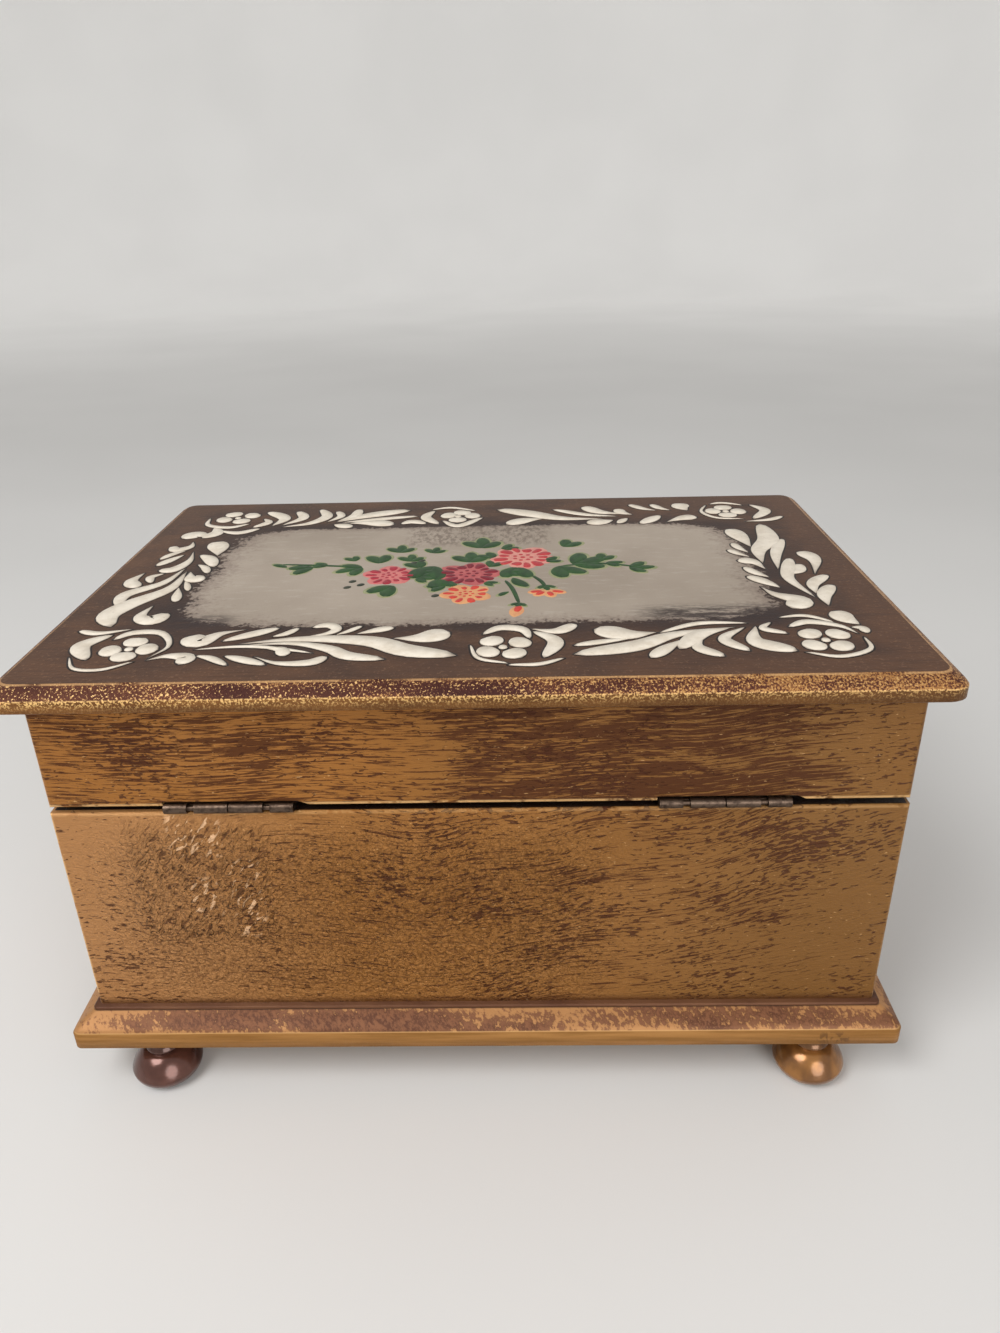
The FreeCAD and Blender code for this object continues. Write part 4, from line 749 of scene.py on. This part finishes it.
# Each stroke is its width, its lean, and then a column and a row for each of its points
BORDER = [
    # Near left
    (46, 2.8, 350, 784, 312, 800, 285, 832, 262, 806), (22, 1.1, 322, 830, 365, 805, 404, 780),
    (13, 1.4, 400, 815, 420, 805, 437, 782), (20, 1.6, 455, 818, 488, 806, 500, 788, 484, 772, 458, 780),
    (10, 1.6, 503, 812, 522, 798, 541, 777), (19, 1.8, 536, 809, 565, 797, 595, 785),
    (48, 2.2, 598, 828, 645, 828, 688, 806), (44, 1.9, 350, 842, 450, 826, 560, 838, 625, 876, 704, 896),
    (27, 1.9, 362, 846, 440, 843, 500, 865, 535, 893, 594, 906),
    (9, 1.3, 285, 861, 350, 853, 400, 857, 478, 880), (24, 2.0, 398, 860, 424, 866, 436, 889),
    (30, 2.3, 222, 898, 250, 884, 282, 890, 278, 914), (15, 1.3, 296, 884, 322, 895, 354, 920),
    (19, 1.3, 341, 886, 370, 900, 413, 920), (21, 2.2, 388, 890, 430, 915, 480, 915, 503, 893),
    (17, 1.9, 222, 890, 240, 845, 212, 795, 165, 792, 140, 818), (32, 1.2, 132, 797, 98, 842, 126, 893),
    (7, 1.1, 95, 882, 120, 925, 165, 930, 204, 902), (15, 1.7, 156, 776, 105, 792, 68, 780),
    # Near right
    (21, 1.0, 818, 836, 806, 802, 770, 794, 742, 818), (27, 1.2, 823, 808, 858, 850, 838, 908),
    (7, 1.0, 723, 858, 738, 908, 784, 927), (9, 1.0, 783, 932, 830, 932, 869, 911),
    (25, 1.9, 820, 799, 862, 810, 895, 782), (48, 2.1, 1022, 820, 975, 827, 922, 804),
    (15, 1.8, 985, 840, 940, 852, 886, 866), (37, 1.9, 1152, 803, 1050, 830, 980, 872, 884, 898),
    (12, 1.2, 1174, 788, 1095, 788, 1026, 822), (25, 1.9, 1060, 848, 1030, 880, 1000, 914),
    (32, 1.7, 1142, 806, 1090, 830, 1048, 884), (23, 1.7, 1092, 838, 1078, 880, 1112, 913),
    (23, 1.6, 1166, 804, 1124, 850, 1154, 895), (36, 1.8, 1184, 800, 1172, 862, 1226, 897),
    (17, 1.7, 1338, 836, 1318, 806, 1272, 788, 1236, 806),
    (9, 1.1, 1343, 848, 1337, 895, 1285, 920, 1236, 902), (15, 1.4, 1212, 786, 1194, 812, 1228, 832),
    (9, 1.1, 1230, 767, 1275, 763, 1314, 790), (40, 1.6, 1352, 800, 1336, 775, 1330, 742),
    (17, 1.6, 1335, 811, 1350, 816, 1354, 834),
    # Far left
    (14, 1.2, 104, 148, 115, 202, 168, 222, 206, 196), (19, 1.2, 152, 244, 198, 262, 238, 232),
    (19, 1.3, 230, 160, 246, 190, 220, 224), (31, 1.6, 260, 214, 276, 160, 226, 106),
    (25, 1.5, 282, 210, 318, 160, 296, 106), (27, 1.6, 284, 224, 342, 200, 370, 150, 346, 92),
    (19, 1.6, 378, 192, 402, 152, 388, 112), (25, 1.7, 400, 188, 432, 150, 438, 98),
    (38, 1.8, 398, 194, 460, 152, 556, 112), (18, 1.6, 412, 198, 480, 182, 578, 160),
    (42, 2.0, 428, 205, 475, 203, 530, 220), (30, 1.6, 396, 212, 415, 222, 440, 232),
    (24, 1.1, 545, 216, 570, 202, 600, 218), (20, 1.2, 634, 196, 672, 238, 724, 178),
    (25, 1.2, 612, 120, 596, 172, 628, 222), (9, 1.0, 605, 112, 650, 100, 706, 126),
    # Far right
    (43, 1.8, 990, 203, 900, 196, 830, 158, 754, 118), (38, 2.0, 858, 194, 820, 205, 776, 232),
    (20, 1.7, 1022, 187, 950, 170, 880, 126), (34, 2.1, 1042, 172, 985, 152, 950, 108),
    (27, 1.8, 1056, 176, 1034, 160, 1026, 132), (19, 1.8, 1112, 148, 1082, 130, 1056, 98),
    (19, 1.8, 1144, 148, 1122, 130, 1106, 100), (42, 1.7, 1182, 150, 1172, 125, 1174, 96),
    (38, 1.7, 1010, 214, 985, 226, 950, 232), (18, 1.4, 1042, 203, 1030, 220, 1018, 238),
    (29, 1.2, 1116, 186, 1094, 214, 1066, 244), (34, 2.0, 1124, 234, 1160, 210, 1194, 200),
    (8, 1.0, 1230, 112, 1211, 165, 1236, 212, 1294, 222), (9, 1.0, 1240, 106, 1270, 99, 1312, 118),
    (26, 1.3, 1328, 114, 1352, 165, 1314, 222), (15, 1.6, 1292, 240, 1345, 232, 1380, 208),
    # Left
    (31, 1.4, 134, 216, 150, 258, 128, 292), (42, 1.7, 142, 288, 112, 268, 84, 292),
    (25, 1.9, 117, 316, 121, 350, 98, 370, 82, 344), (15, 1.5, 119, 374, 100, 395, 83, 427),
    (19, 1.6, 124, 400, 108, 430, 89, 465), (27, 2.1, 137, 380, 146, 440, 130, 488, 102, 490),
    (17, 1.4, 120, 508, 101, 530, 111, 558), (31, 2.0, 80, 503, 71, 550, 94, 582),
    (27, 1.7, 152, 480, 135, 560, 86, 618, 91, 674),
    (43, 1.6, 160, 498, 158, 590, 112, 662, 92, 716, 115, 764), (46, 1.9, 194, 408, 184, 366, 168, 318),
    (29, 1.2, 158, 402, 185, 430, 206, 474), (17, 1.5, 170, 460, 190, 480, 204, 510),
    (37, 2.1, 168, 500, 182, 540, 208, 536), (13, 1.6, 174, 552, 185, 575, 195, 602),
    (19, 1.9, 172, 584, 181, 620, 189, 656), (39, 1.9, 155, 672, 150, 722, 176, 740, 194, 708),
    # Right
    (41, 1.9, 1266, 408, 1258, 350, 1246, 290), (45, 1.6, 1267, 502, 1276, 430, 1312, 360, 1318, 258),
    (25, 1.6, 1287, 538, 1305, 450, 1340, 360), (35, 2.2, 1347, 568, 1368, 490, 1352, 440),
    (28, 1.5, 1315, 680, 1294, 592, 1308, 530, 1324, 478), (23, 1.6, 1298, 566, 1324, 548, 1332, 512),
    (17, 1.7, 1253, 442, 1240, 415, 1233, 384), (15, 1.7, 1250, 467, 1230, 447, 1216, 424),
    (31, 2.1, 1264, 537, 1250, 498, 1222, 486), (19, 1.5, 1260, 580, 1240, 556, 1226, 524),
    (25, 1.5, 1267, 632, 1245, 602, 1221, 572), (46, 2.6, 1233, 626, 1250, 664, 1284, 696, 1262, 728),
    (27, 1.6, 1322, 663, 1330, 616, 1368, 572), (29, 1.6, 1327, 718, 1334, 670, 1362, 622),
]

# Each roundel is the column and row of its middle, and then of its petals
ROUNDELS = [
    (180, 857, 181, 829, 152, 862, 209, 857, 181, 884),
    (775, 869, 757, 845, 802, 852, 752, 885, 793, 892),
    (1280, 860, 1262, 835, 1305, 838, 1257, 878, 1298, 882),
    (168, 152, 152, 124, 197, 135, 140, 164, 182, 176),
    (668, 168, 646, 160, 676, 140, 700, 165, 668, 194),
    (1265, 165, 1264, 136, 1237, 162, 1264, 192, 1292, 167),
]


def pairs(numbers):
    return list(zip(numbers[::2], numbers[1::2]))


def make_border():
    raised = Relief(RELIEF * 0.92)
    shadow = Relief(0.05 * MM, grow=0.55 * MM)
    for relief in (raised, shadow):
        for width, lean, *path in BORDER:
            relief.stroke(width, pairs(path), lean)
        for middle, *petals in map(pairs, ROUNDELS):
            relief.roundel(*middle, petals)
    shadow.make("border_shadow", make_paint("border_outline", (24, 16, 14), (36, 26, 22)))
    raised.make("border_strokes", make_cream())


# The painted flowers

class Painting:
    """Thin layers of paint, one mesh to a colour."""

    def __init__(self):
        self.layers = {}

    def layer(self, name):
        if name not in self.layers:
            self.layers[name] = Relief(PAINTS[name][0] * MM, sunk=0.01 * MM)
        return self.layers[name]

    def leaf(self, column, row, angle, size, lobes):
        """A lobed leaf: wide pale strokes under dark ones. The angle is where it points, 90 is near."""
        dark, pale = self.layer("leaf_dark"), self.layer("leaf_pale")
        foot = (column, row)
        spread = 0 if lobes == 1 else 44
        for number in range(lobes):
            turn = radians(angle + spread * (number - (lobes - 1) / 2))
            reach = size * (1.1 if number == (lobes - 1) / 2 else 0.9)
            tip = polar(foot, reach, turn)
            middle = polar(foot, reach * 0.5, turn + 0.12)
            dark.stroke(size * 0.48, [foot, middle, tip], 1.15, 0.6, 12)
            pale.stroke(size * 0.60, [foot, middle, polar(tip, 6, turn + 0.6)], 1.25, 0.55, 12)

    def flower(self, column, row, size, hue, marks, turn):
        """A flower: pale petals, deep strokes that radiate on them, and a ring of dots round its eye."""
        pale, deep = self.layer(hue + "_pale"), self.layer(hue + "_deep")
        eye = (column, row)
        petals, dots = 5, 7
        for number in range(petals):
            angle = turn + 2 * pi * number / petals
            pale.dab(*polar(eye, size * 0.55, angle), size * 1.05, size * 0.9, degrees(angle))
        pale.dab(*eye, size * 1.1, size * 1.1, 0)
        for number in range(marks):
            angle = turn + 0.2 + 2 * pi * number / marks
            near = polar(eye, size * 0.4, angle)
            far = polar(eye, size * (0.96 if number % 3 else 0.78), angle)
            bend = ((near[0] + far[0]) / 2 + size * 0.05, (near[1] + far[1]) / 2)
            deep.stroke(size * (0.34 if number % 2 else 0.24), [near, bend, far], 1.5, 0.45, 8)
        for number in range(dots):
            deep.dab(*polar(eye, size * 0.26, 2 * pi * number / dots), size * 0.15, size * 0.14, 0)
        deep.dab(*eye, size * 0.18, size * 0.18, 0)


LEAVES = [
    (725, 388, -90, 62, 3), (562, 408, -90, 44, 3), (630, 414, -80, 34, 3), (528, 470, -100, 58, 2),
    (588, 462, -90, 40, 3), (705, 472, -90, 56, 3), (892, 388, -60, 54, 2), (905, 490, -30, 74, 3),
    (958, 470, -60, 44, 2), (970, 484, 20, 38, 2), (1012, 512, 0, 46, 3), (878, 500, 60, 74, 2),
    (800, 500, 90, 74, 2), (790, 560, 60, 52, 1), (640, 490, 100, 88, 2), (652, 560, 70, 60, 2),
    (572, 592, 120, 64, 2), (500, 492, 150, 52, 3), (430, 480, 190, 36, 2), (404, 486, 150, 56, 2),
    (352, 486, 210, 34, 1), (738, 580, 30, 30, 2), (612, 500, 240, 48, 2), (752, 452, -130, 44, 2),
    (776, 524, 20, 44, 2), (650, 528, 170, 44, 2), (612, 548, 40, 40, 2), (768, 398, -40, 42, 2),
    (668, 596, 150, 42, 2), (850, 470, -20, 40, 2), (745, 500, -70, 40, 2), (480, 455, -120, 34, 2),
]
LEAVES_ON_STEMS = [(784, 630, 130, 26, 1), (802, 684, 95, 22, 3), (850, 600, 80, 26, 3)]
STEMS = [
    [(500, 492), (430, 478), (330, 466)], [(880, 500), (960, 490), (1040, 516)],
    [(776, 572), (790, 618), (802, 690)], [(826, 548), (842, 580), (850, 610)],
]
STEM_WIDTH = 9
FLOWERS = [
    (810, 448, 64, "pink", 13, 0.3), (557, 537, 50, "rose", 12, 0.9),
    (707, 535, 60, "red", 14, 0.0), (707, 638, 46, "coral", 10, 0.5),
]
SMALL_FLOWER = (852, 628)
BERRIES = ((492, 567), (510, 585), (487, 597), (652, 645), (598, 470), (612, 458))
# The height of each paint in millimetres, and the two colours between which it varies
PAINTS = {
    "leaf_dark": (0.09, (44, 80, 38), (32, 60, 31)),
    "leaf_pale": (0.05, (150, 150, 112), (128, 136, 96)),
    "pink_pale": (0.07, (214, 150, 134), (204, 132, 122)),
    "pink_deep": (0.11, (190, 62, 64), (168, 48, 56)),
    "rose_pale": (0.07, (206, 122, 116), (194, 104, 104)),
    "rose_deep": (0.11, (170, 44, 60), (148, 36, 52)),
    "red_pale": (0.07, (184, 96, 94), (168, 78, 82)),
    "red_deep": (0.11, (128, 28, 44), (108, 24, 38)),
    "coral_pale": (0.07, (216, 158, 108), (206, 142, 100)),
    "coral_deep": (0.11, (206, 66, 52), (188, 54, 48)),
    "berry": (0.09, (44, 50, 40), (60, 62, 48)),
}


def make_bouquet():
    art = Painting()
    for leaf in LEAVES:
        art.leaf(*leaf)
    for places in STEMS:
        art.layer("leaf_dark").stroke(STEM_WIDTH, places, 1.0, 0.25, 12)
    for leaf in LEAVES_ON_STEMS:
        art.leaf(*leaf)
    for flower in FLOWERS:
        art.flower(*flower)
    pale, deep = art.layer("coral_pale"), art.layer("coral_deep")
    column, row = SMALL_FLOWER
    for angle in (20, 75, 130, 165):
        cosine, sine = polar((0, 0), 1, radians(angle))
        pale.dab(column + 18 * cosine, row + 16 * sine, 38, 24, angle)
        deep.dab(column + 20 * cosine, row + 17 * sine, 24, 12, angle)
    pale.stroke(26, [(802, 694), (797, 722), (792, 748)], 1.0, 0.7, 12)
    deep.stroke(14, [(802, 696), (799, 714), (796, 728)], 0.9, 0.6, 10)
    for berry in BERRIES:
        art.layer("berry").dab(*berry, 17, 13, -50)
    for name, relief in art.layers.items():
        relief.make("bouquet_" + name, make_paint("paint_" + name, *PAINTS[name][1:]))


# The base and the feet

def make_base():
    soft = 0.5 * MM
    ledge = base_high.z - base_low.z
    lost_corner = BASE_CORNER * 0.4
    ledge_corner = BASE_CORNER - lost_corner
    rows = [(soft, 0, BASE_CORNER), (0, soft, BASE_CORNER), (0, BASE_BAND - 0.4 * MM, BASE_CORNER),
            (0.35 * MM, BASE_BAND, BASE_CORNER)]
    rows += hollow_slope(1, BASE_RUN, 0.5 * MM, BASE_BAND, BASE_SLOPE, BASE_CORNER, lost_corner)
    rows += [(BASE_RUN, ledge - 0.3 * MM, ledge_corner), (BASE_RUN + 0.3 * MM, ledge, ledge_corner)]
    moulding = slab(base_low, base_high, rows)
    base = make_object("base_moulding", moulding, finish=BY_SLOT["moulding"], sharp=50)
    arbor_low, arbor_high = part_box("key_arbor")
    middle = (arbor_low + arbor_high) / 2
    key_hole = 3.5 * MM
    drill = lathe([(key_hole, -10 * MM), (key_hole, 50 * MM)], (middle.x, middle.y, base_low.z), 32)
    cutter = make_object("key_hole_cutter", drill, finish=BY_SLOT["plain_wood"])
    boolean = base.modifiers.new("key_hole", "BOOLEAN")
    boolean.object = cutter
    boolean.operation = "DIFFERENCE"
    boolean.solver = "EXACT"
    bpy.context.view_layer.update()
    evaluated = base.evaluated_get(bpy.context.evaluated_depsgraph_get())
    base.data = bpy.data.meshes.new_from_object(evaluated)
    base.modifiers.clear()
    bpy.data.objects.remove(cutter)
    base.data.set_sharp_from_angle(angle=radians(50))
    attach(base, "case")
    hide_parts("base_plate")


def make_feet():
    """Turned feet: a low bun whose shoulder runs up to a neck with a small ring."""
    flat, neck, widest, shoulder = 5.6 * MM, 4.4 * MM, 4.4 * MM, 10.8 * MM
    under_steps, over_steps = 12, 16
    ring = ((0.7, 0.1), (1.0, 0.7), (0.9, 1.2), (0.3, 1.7), (0.1, 2.4), (0.2, 3.6), (0.8, 5.0))
    for node in ("foot_front_left", "foot_front_right", "foot_back_left", "foot_back_right"):
        low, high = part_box(node)
        radius = (high.x - low.x) / 2
        profile = [(0.01 * MM, 0), (flat * 0.9, 0)]
        for step in range(under_steps + 1):
            angle = pi / 2 * (step / under_steps - 1)
            profile.append((flat + (radius - flat) * cos(angle), widest * (1 + sin(angle))))
        for step in range(1, over_steps + 1):
            share = step / over_steps
            swell = 0.62 * sqrt(1 - share ** 2) + 0.38 * (1 - share)
            profile.append((neck + (radius - neck) * swell, widest + (shoulder - widest) * share))
        profile += [(neck + swell * MM, shoulder + level * MM) for swell, level in ring]
        profile.append((neck + 0.9 * MM, base_low.z))
        turned = lathe(profile, ((low.x + high.x) / 2, (low.y + high.y) / 2, 0))
        foot = make_object(node.replace("foot", "bun_foot"), turned, "case", "turned_wood")
        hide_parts(node)


# Soft parts inside

def make_pad(node):
    """A velvet pad: crowned, with sides that pull in between the corners and a soft edge."""
    low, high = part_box(node)
    centre, half = (low + high) / 2, (high - low) / 2
    tall = high.z - low.z
    across, deep = 36, 28
    bow_x, bow_y = 0.012, 0.016
    edge_level, underside = 0.42, 0.25
    vertices, faces = [], []
    for layer in (0, 1):
        for j in range(deep + 1):
            for i in range(across + 1):
                u, v = crowded(i, across, 1.5), crowded(j, deep, 1.5)
                soft = ((1 - abs(u) ** 14) * (1 - abs(v) ** 12)) ** 0.5
                pull_x = 1 - bow_x * (1 - v * v) * abs(u) ** 3
                pull_y = 1 - bow_y * (1 - u * u) * abs(v) ** 3
                rise = edge_level + (1 - edge_level) * soft if layer else underside * (1 - soft)
                x, y = centre.x + half.x * u * pull_x, centre.y + half.y * v * pull_y
                vertices.append((x, y, low.z + tall * rise))
    row, size = across + 1, (across + 1) * (deep + 1)
    for j in range(deep):
        for i in range(across):
            a = j * row + i
            faces.append((a, a + row, a + row + 1, a + 1))
            faces.append((size + a, size + a + 1, size + a + row + 1, size + a + row))
    edge = [*range(across)] + [j * row + across for j in range(deep)]
    edge += [deep * row + i for i in range(across, 0, -1)] + [j * row for j in range(deep, 0, -1)]
    for number, first in enumerate(edge):
        second = edge[(number + 1) % len(edge)]
        faces.append((first, second, size + second, size + first))
    piece = make_object("velvet_" + node, (vertices, faces), "case", "velvet", sharp=180)
    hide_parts(node)


def make_roll(node):
    """A velvet ring roll: a firm round-shouldered bar whose ends draw in to a seam."""
    low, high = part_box(node)
    centre, half = (low + high) / 2, (high - low) / 2
    sides, steps, square = 36, 44, 0.72
    flat, wave = 0.985, 0.006
    loops = []
    for step in range(steps + 1):
        u = crowded(step, steps, 1.7)
        draw = max(0.0, 1 - abs(u) ** 40) ** 0.35 * (1 - 0.03 * abs(u) ** 6)
        loop = []
        for side in range(sides):
            angle = 2 * pi * side / sides
            a = copysign(abs(cos(angle)) ** square, cos(angle))
            b = copysign(abs(sin(angle)) ** square, sin(angle))
            ripple = 1 + wave * sin(step * 1.9 + side * 0.7)
            loop.append((centre.x + half.x * u, centre.y + half.y * flat * a * draw,
                         min(high.z, max(low.z, centre.z + half.z * b * draw * ripple))))
        loops.append(loop)
    piece = make_object("velvet_" + node, skin(loops), "case", "velvet", sharp=180)
    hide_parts(node)


# The mirror's frame, the hinge screws and the finer parts of the movement

def make_mirror_frame():
    low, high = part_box("mirror_frame")
    tall = high.z - low.z
    wide = 7 * MM
    profile = [
        (0, tall), (0, tall * 0.45), (0.5 * MM, tall * 0.3), (1.3 * MM, tall * 0.26),
        (1.6 * MM, tall * 0.12), (2.6 * MM, 0.02 * MM), (3.8 * MM, 0.04 * MM), (4.7 * MM, tall * 0.16),
        (5.0 * MM, tall * 0.26), (5.6 * MM, tall * 0.24), (6.2 * MM, tall * 0.3), (wide, tall * 0.38),
        (wide, tall * 0.412),
    ]
    loops = [[(sx * (high.x - inset), sy * (high.y - inset), low.z + level) for sx, sy in SQUARE]
             for inset, level in profile]
    moulding = make_object("gilt_frame", skin(loops, False, False), "lid", "frame_gilt", sharp=28)
    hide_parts("mirror_frame")
    beads = ([], [])
    spacing = 2.6 * MM
    bead = [(0.05 * MM, -0.5 * MM), (0.45 * MM, -0.3 * MM), (0.62 * MM, 0), (0.5 * MM, 0.3 * MM)]
    half_x, half_y = high.x - 1.0 * MM, high.y - 1.0 * MM
    for along, other, turned in ((half_x, half_y, False), (half_y, half_x, True)):
        count = int(2 * along / spacing)
        for number in range(count + 1):
            place = -along + 2 * along * number / count
            for side in (-1, 1):
                spot = (side * other, place) if turned else (place, side * other)
                add(beads, lathe(bead, (*spot, low.z + tall * 0.32), 8))
    make_object("frame_beads", beads, "lid", "frame_gilt", sharp=60)


def make_screws():
    """Small flush slotted screws in both leaves of each hinge, seen when the lid is open."""
    dark = make_metal("screw_slot", (30, 26, 24), (44, 38, 34), 0.6)
    heads = {"case": ([], []), "lid": ([], [])}
    slots = {"case": ([], []), "lid": ([], [])}
    head = [(0.02 * MM, -0.2 * MM), (1.25 * MM, -0.2 * MM), (1.15 * MM, 0.03 * MM), (0.02 * MM, 0.035 * MM)]
    slot_half, slot_thin, slot_level, sunk = 1.0 * MM, 0.16, 0.042 * MM, 0.7 * MM
    first, pitch = 0.14, 0.36
    for side in ("right", "left"):
        for body, level, up in (("case", wall_high.z + sunk, 1), ("lid", rim_low.z - sunk, -1)):
            low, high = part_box(f"hinge_{side}_{body}_leaf")
            for number in range(3):
                x = low.x + (high.x - low.x) * (first + pitch * number)
                y = low.y + 2.6 * MM
                points, faces = lathe(head, (0, 0, 0), 20)
                add(heads[body], ([(x + px, y + py, level + up * pz) for px, py, pz in points], faces))
                angle = random.uniform(0, pi)
                way = Vector((cos(angle), sin(angle))) * slot_half
                off = Vector((-way.y, way.x)) * slot_thin
                corners = [way + off, way - off, -way - off, -way + off]
                points = [(x + corner.x, y + corner.y, level + up * slot_level) for corner in corners]
                add(slots[body], (points, [(0, 1, 2, 3)]))
    for body in ("case", "lid"):
        make_object(f"hinge_screws_{body}", heads[body], body, "hinge_metal")
        make_object(f"hinge_screw_slots_{body}", slots[body], body, "hinge_metal", dark, smooth=False)


def make_drum():
    """The music cylinder with the many fine pins of a tune."""
    low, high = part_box("music_cylinder")
    centre = (low + high) / 2
    radius, bore, soft, length = 6.4 * MM, 0.8 * MM, 0.15 * MM, high.x - low.x
    profile = [(bore, 0), (radius - soft, 0), (radius, soft),
               (radius, length - soft), (radius - soft, length), (bore, length)]
    vertices, faces = lathe(profile, (0, 0, 0), 64)
    vertices = [(low.x + z, centre.y + x, centre.z + y) for x, y, z in vertices]
    drum = make_object("pinned_drum", (vertices, faces), "cylinder", "brass")
    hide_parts("music_cylinder")
    pins = ([], [])
    tracks, places, rest_share = 36, 9, 0.25
    early, twist = 0.04, 0.61
    half, reach = 0.085 * MM, 0.42 * MM
    for track in range(tracks):
        x = low.x + length * (track + 0.5) / tracks
        for number in range(places):
            if random.random() < rest_share:
                continue
            turn = 2 * pi * (number / places + random.uniform(-early, early)) + track * twist
            spin = Matrix.Rotation(turn, 4, "X")
            points = []
            for tall in (radius - 0.1 * MM, radius + reach):
                for sx, sy in SQUARE:
                    point = spin @ Vector((0, sy * half, tall))
                    points.append((x + sx * half, centre.y + point.y, centre.z + point.z))
            add(pins, (points, [(4, 5, 6, 7), (0, 1, 5, 4), (1, 2, 6, 5), (2, 3, 7, 6), (3, 0, 4, 7)]))
    make_object("drum_pins", pins, "cylinder", "steel", smooth=False)


# The room, the camera and the lamps

def make_stage():
    """A pale round floor that bends up into a low wall. What lies far out shines a little where seen."""
    f = Finish("pale_floor", roughness=0.7)
    f.paint(f.mix(f.noise(3, 2).step(), (222, 221, 219), (218, 217, 215)))
    straight, mirrored, through = (
        f.node("LightPath", {}, f"Is {kind} Ray") for kind in ("Camera", "Glossy", "Transmission"))
    far = f.node("VectorMath", {0: f.place}, "Value", operation="LENGTH").step(0.7, 2.9)
    f.put(f.inputs["Emission Color"], f.tone)
    f.put(f.inputs["Emission Strength"], straight.most(mirrored.most(through)) * far * 0.36)
    flat, bend, tall, steps = 2.6, 0.6, 1.4, 10
    profile = [(0.02, 0), (flat, 0)]
    for step in range(1, steps + 1):
        angle = pi / 2 * step / steps
        profile.append((flat + bend * sin(angle), bend * (1 - cos(angle))))
    profile.append((flat + bend, tall))
    make_object("pale_floor", lathe(profile, (0, 0, 0), 96, False), finish=f)


PHOTO_TALL = 1333
FOCUS = 954.3
SENSOR = 36
YAW = 1.31
PITCH = 25.57
ROLL = -1.38
EYE = Vector((-12.2, 289.5, 239.2)) * MM


def make_camera():
    """The camera that was solved from the corners and edges of the box in the photo."""
    yaw, pitch, roll = (radians(angle) for angle in (YAW, PITCH, ROLL))
    ahead = Vector((sin(yaw) * cos(pitch), -cos(yaw) * cos(pitch), -sin(pitch)))
    right = ahead.cross(Vector((0, 0, 1))).normalized()
    up = right.cross(ahead)
    right, up = right * cos(roll) + up * sin(roll), up * cos(roll) - right * sin(roll)
    data = bpy.data.cameras.new("camera")
    data.sensor_width = SENSOR
    data.lens = FOCUS / PHOTO_TALL * SENSOR
    data.clip_start = 10 * MM
    camera = new_object("camera", data)
    camera.matrix_world = Matrix.Translation(EYE) @ Matrix((right, up, -ahead)).transposed().to_4x4()
    bpy.context.scene.camera = camera


SKY = 0.55
SKY_SEEN = 0.632
SKY_TINT = (1.0, 0.985, 0.965, 1)


def add_lamp(name, place, target, size, power):
    data = bpy.data.lights.new(name, "AREA")
    data.shape = "DISK"
    data.size = size
    data.energy = power
    lamp = new_object(name, data)
    lamp.location = place
    lamp.rotation_euler = (Vector(target) - Vector(place)).to_track_quat("-Z", "Y").to_euler()


def make_light():
    """A pale sky, as bright behind the wall as the wall itself, and two round lamps."""
    world = bpy.data.worlds.new("studio")
    bpy.context.scene.world = world
    world.use_nodes = True
    tree = world.node_tree
    sky = tree.nodes["Background"]
    sky.inputs["Color"].default_value = SKY_TINT
    seen = tree.nodes.new("ShaderNodeMapRange")
    seen.inputs["To Min"].default_value = SKY
    seen.inputs["To Max"].default_value = SKY_SEEN
    tree.links.new(tree.nodes.new("ShaderNodeLightPath").outputs["Is Camera Ray"], seen.inputs["Value"])
    tree.links.new(seen.outputs["Result"], sky.inputs["Strength"])
    add_lamp("key_lamp", place=(0.6, 0.6, 1.0), target=(0, 0, 0.08), size=0.7, power=9)
    add_lamp("fill_lamp", place=(-0.5, 1.2, 0.5), target=(0, 0, 0.07), size=0.9, power=8)


make_lid_plate()
make_border()
make_bouquet()
make_base()
make_feet()
for pad_node in ("floor_pad_left", "floor_pad_right", "floor_pad_square"):
    make_pad(pad_node)
for roll_number in range(1, 5):
    make_roll(f"ring_roll_{roll_number}")
make_mirror_frame()
make_screws()
make_drum()
make_stage()
make_camera()
make_light()
bpy.context.scene.view_settings.view_transform = "Standard"
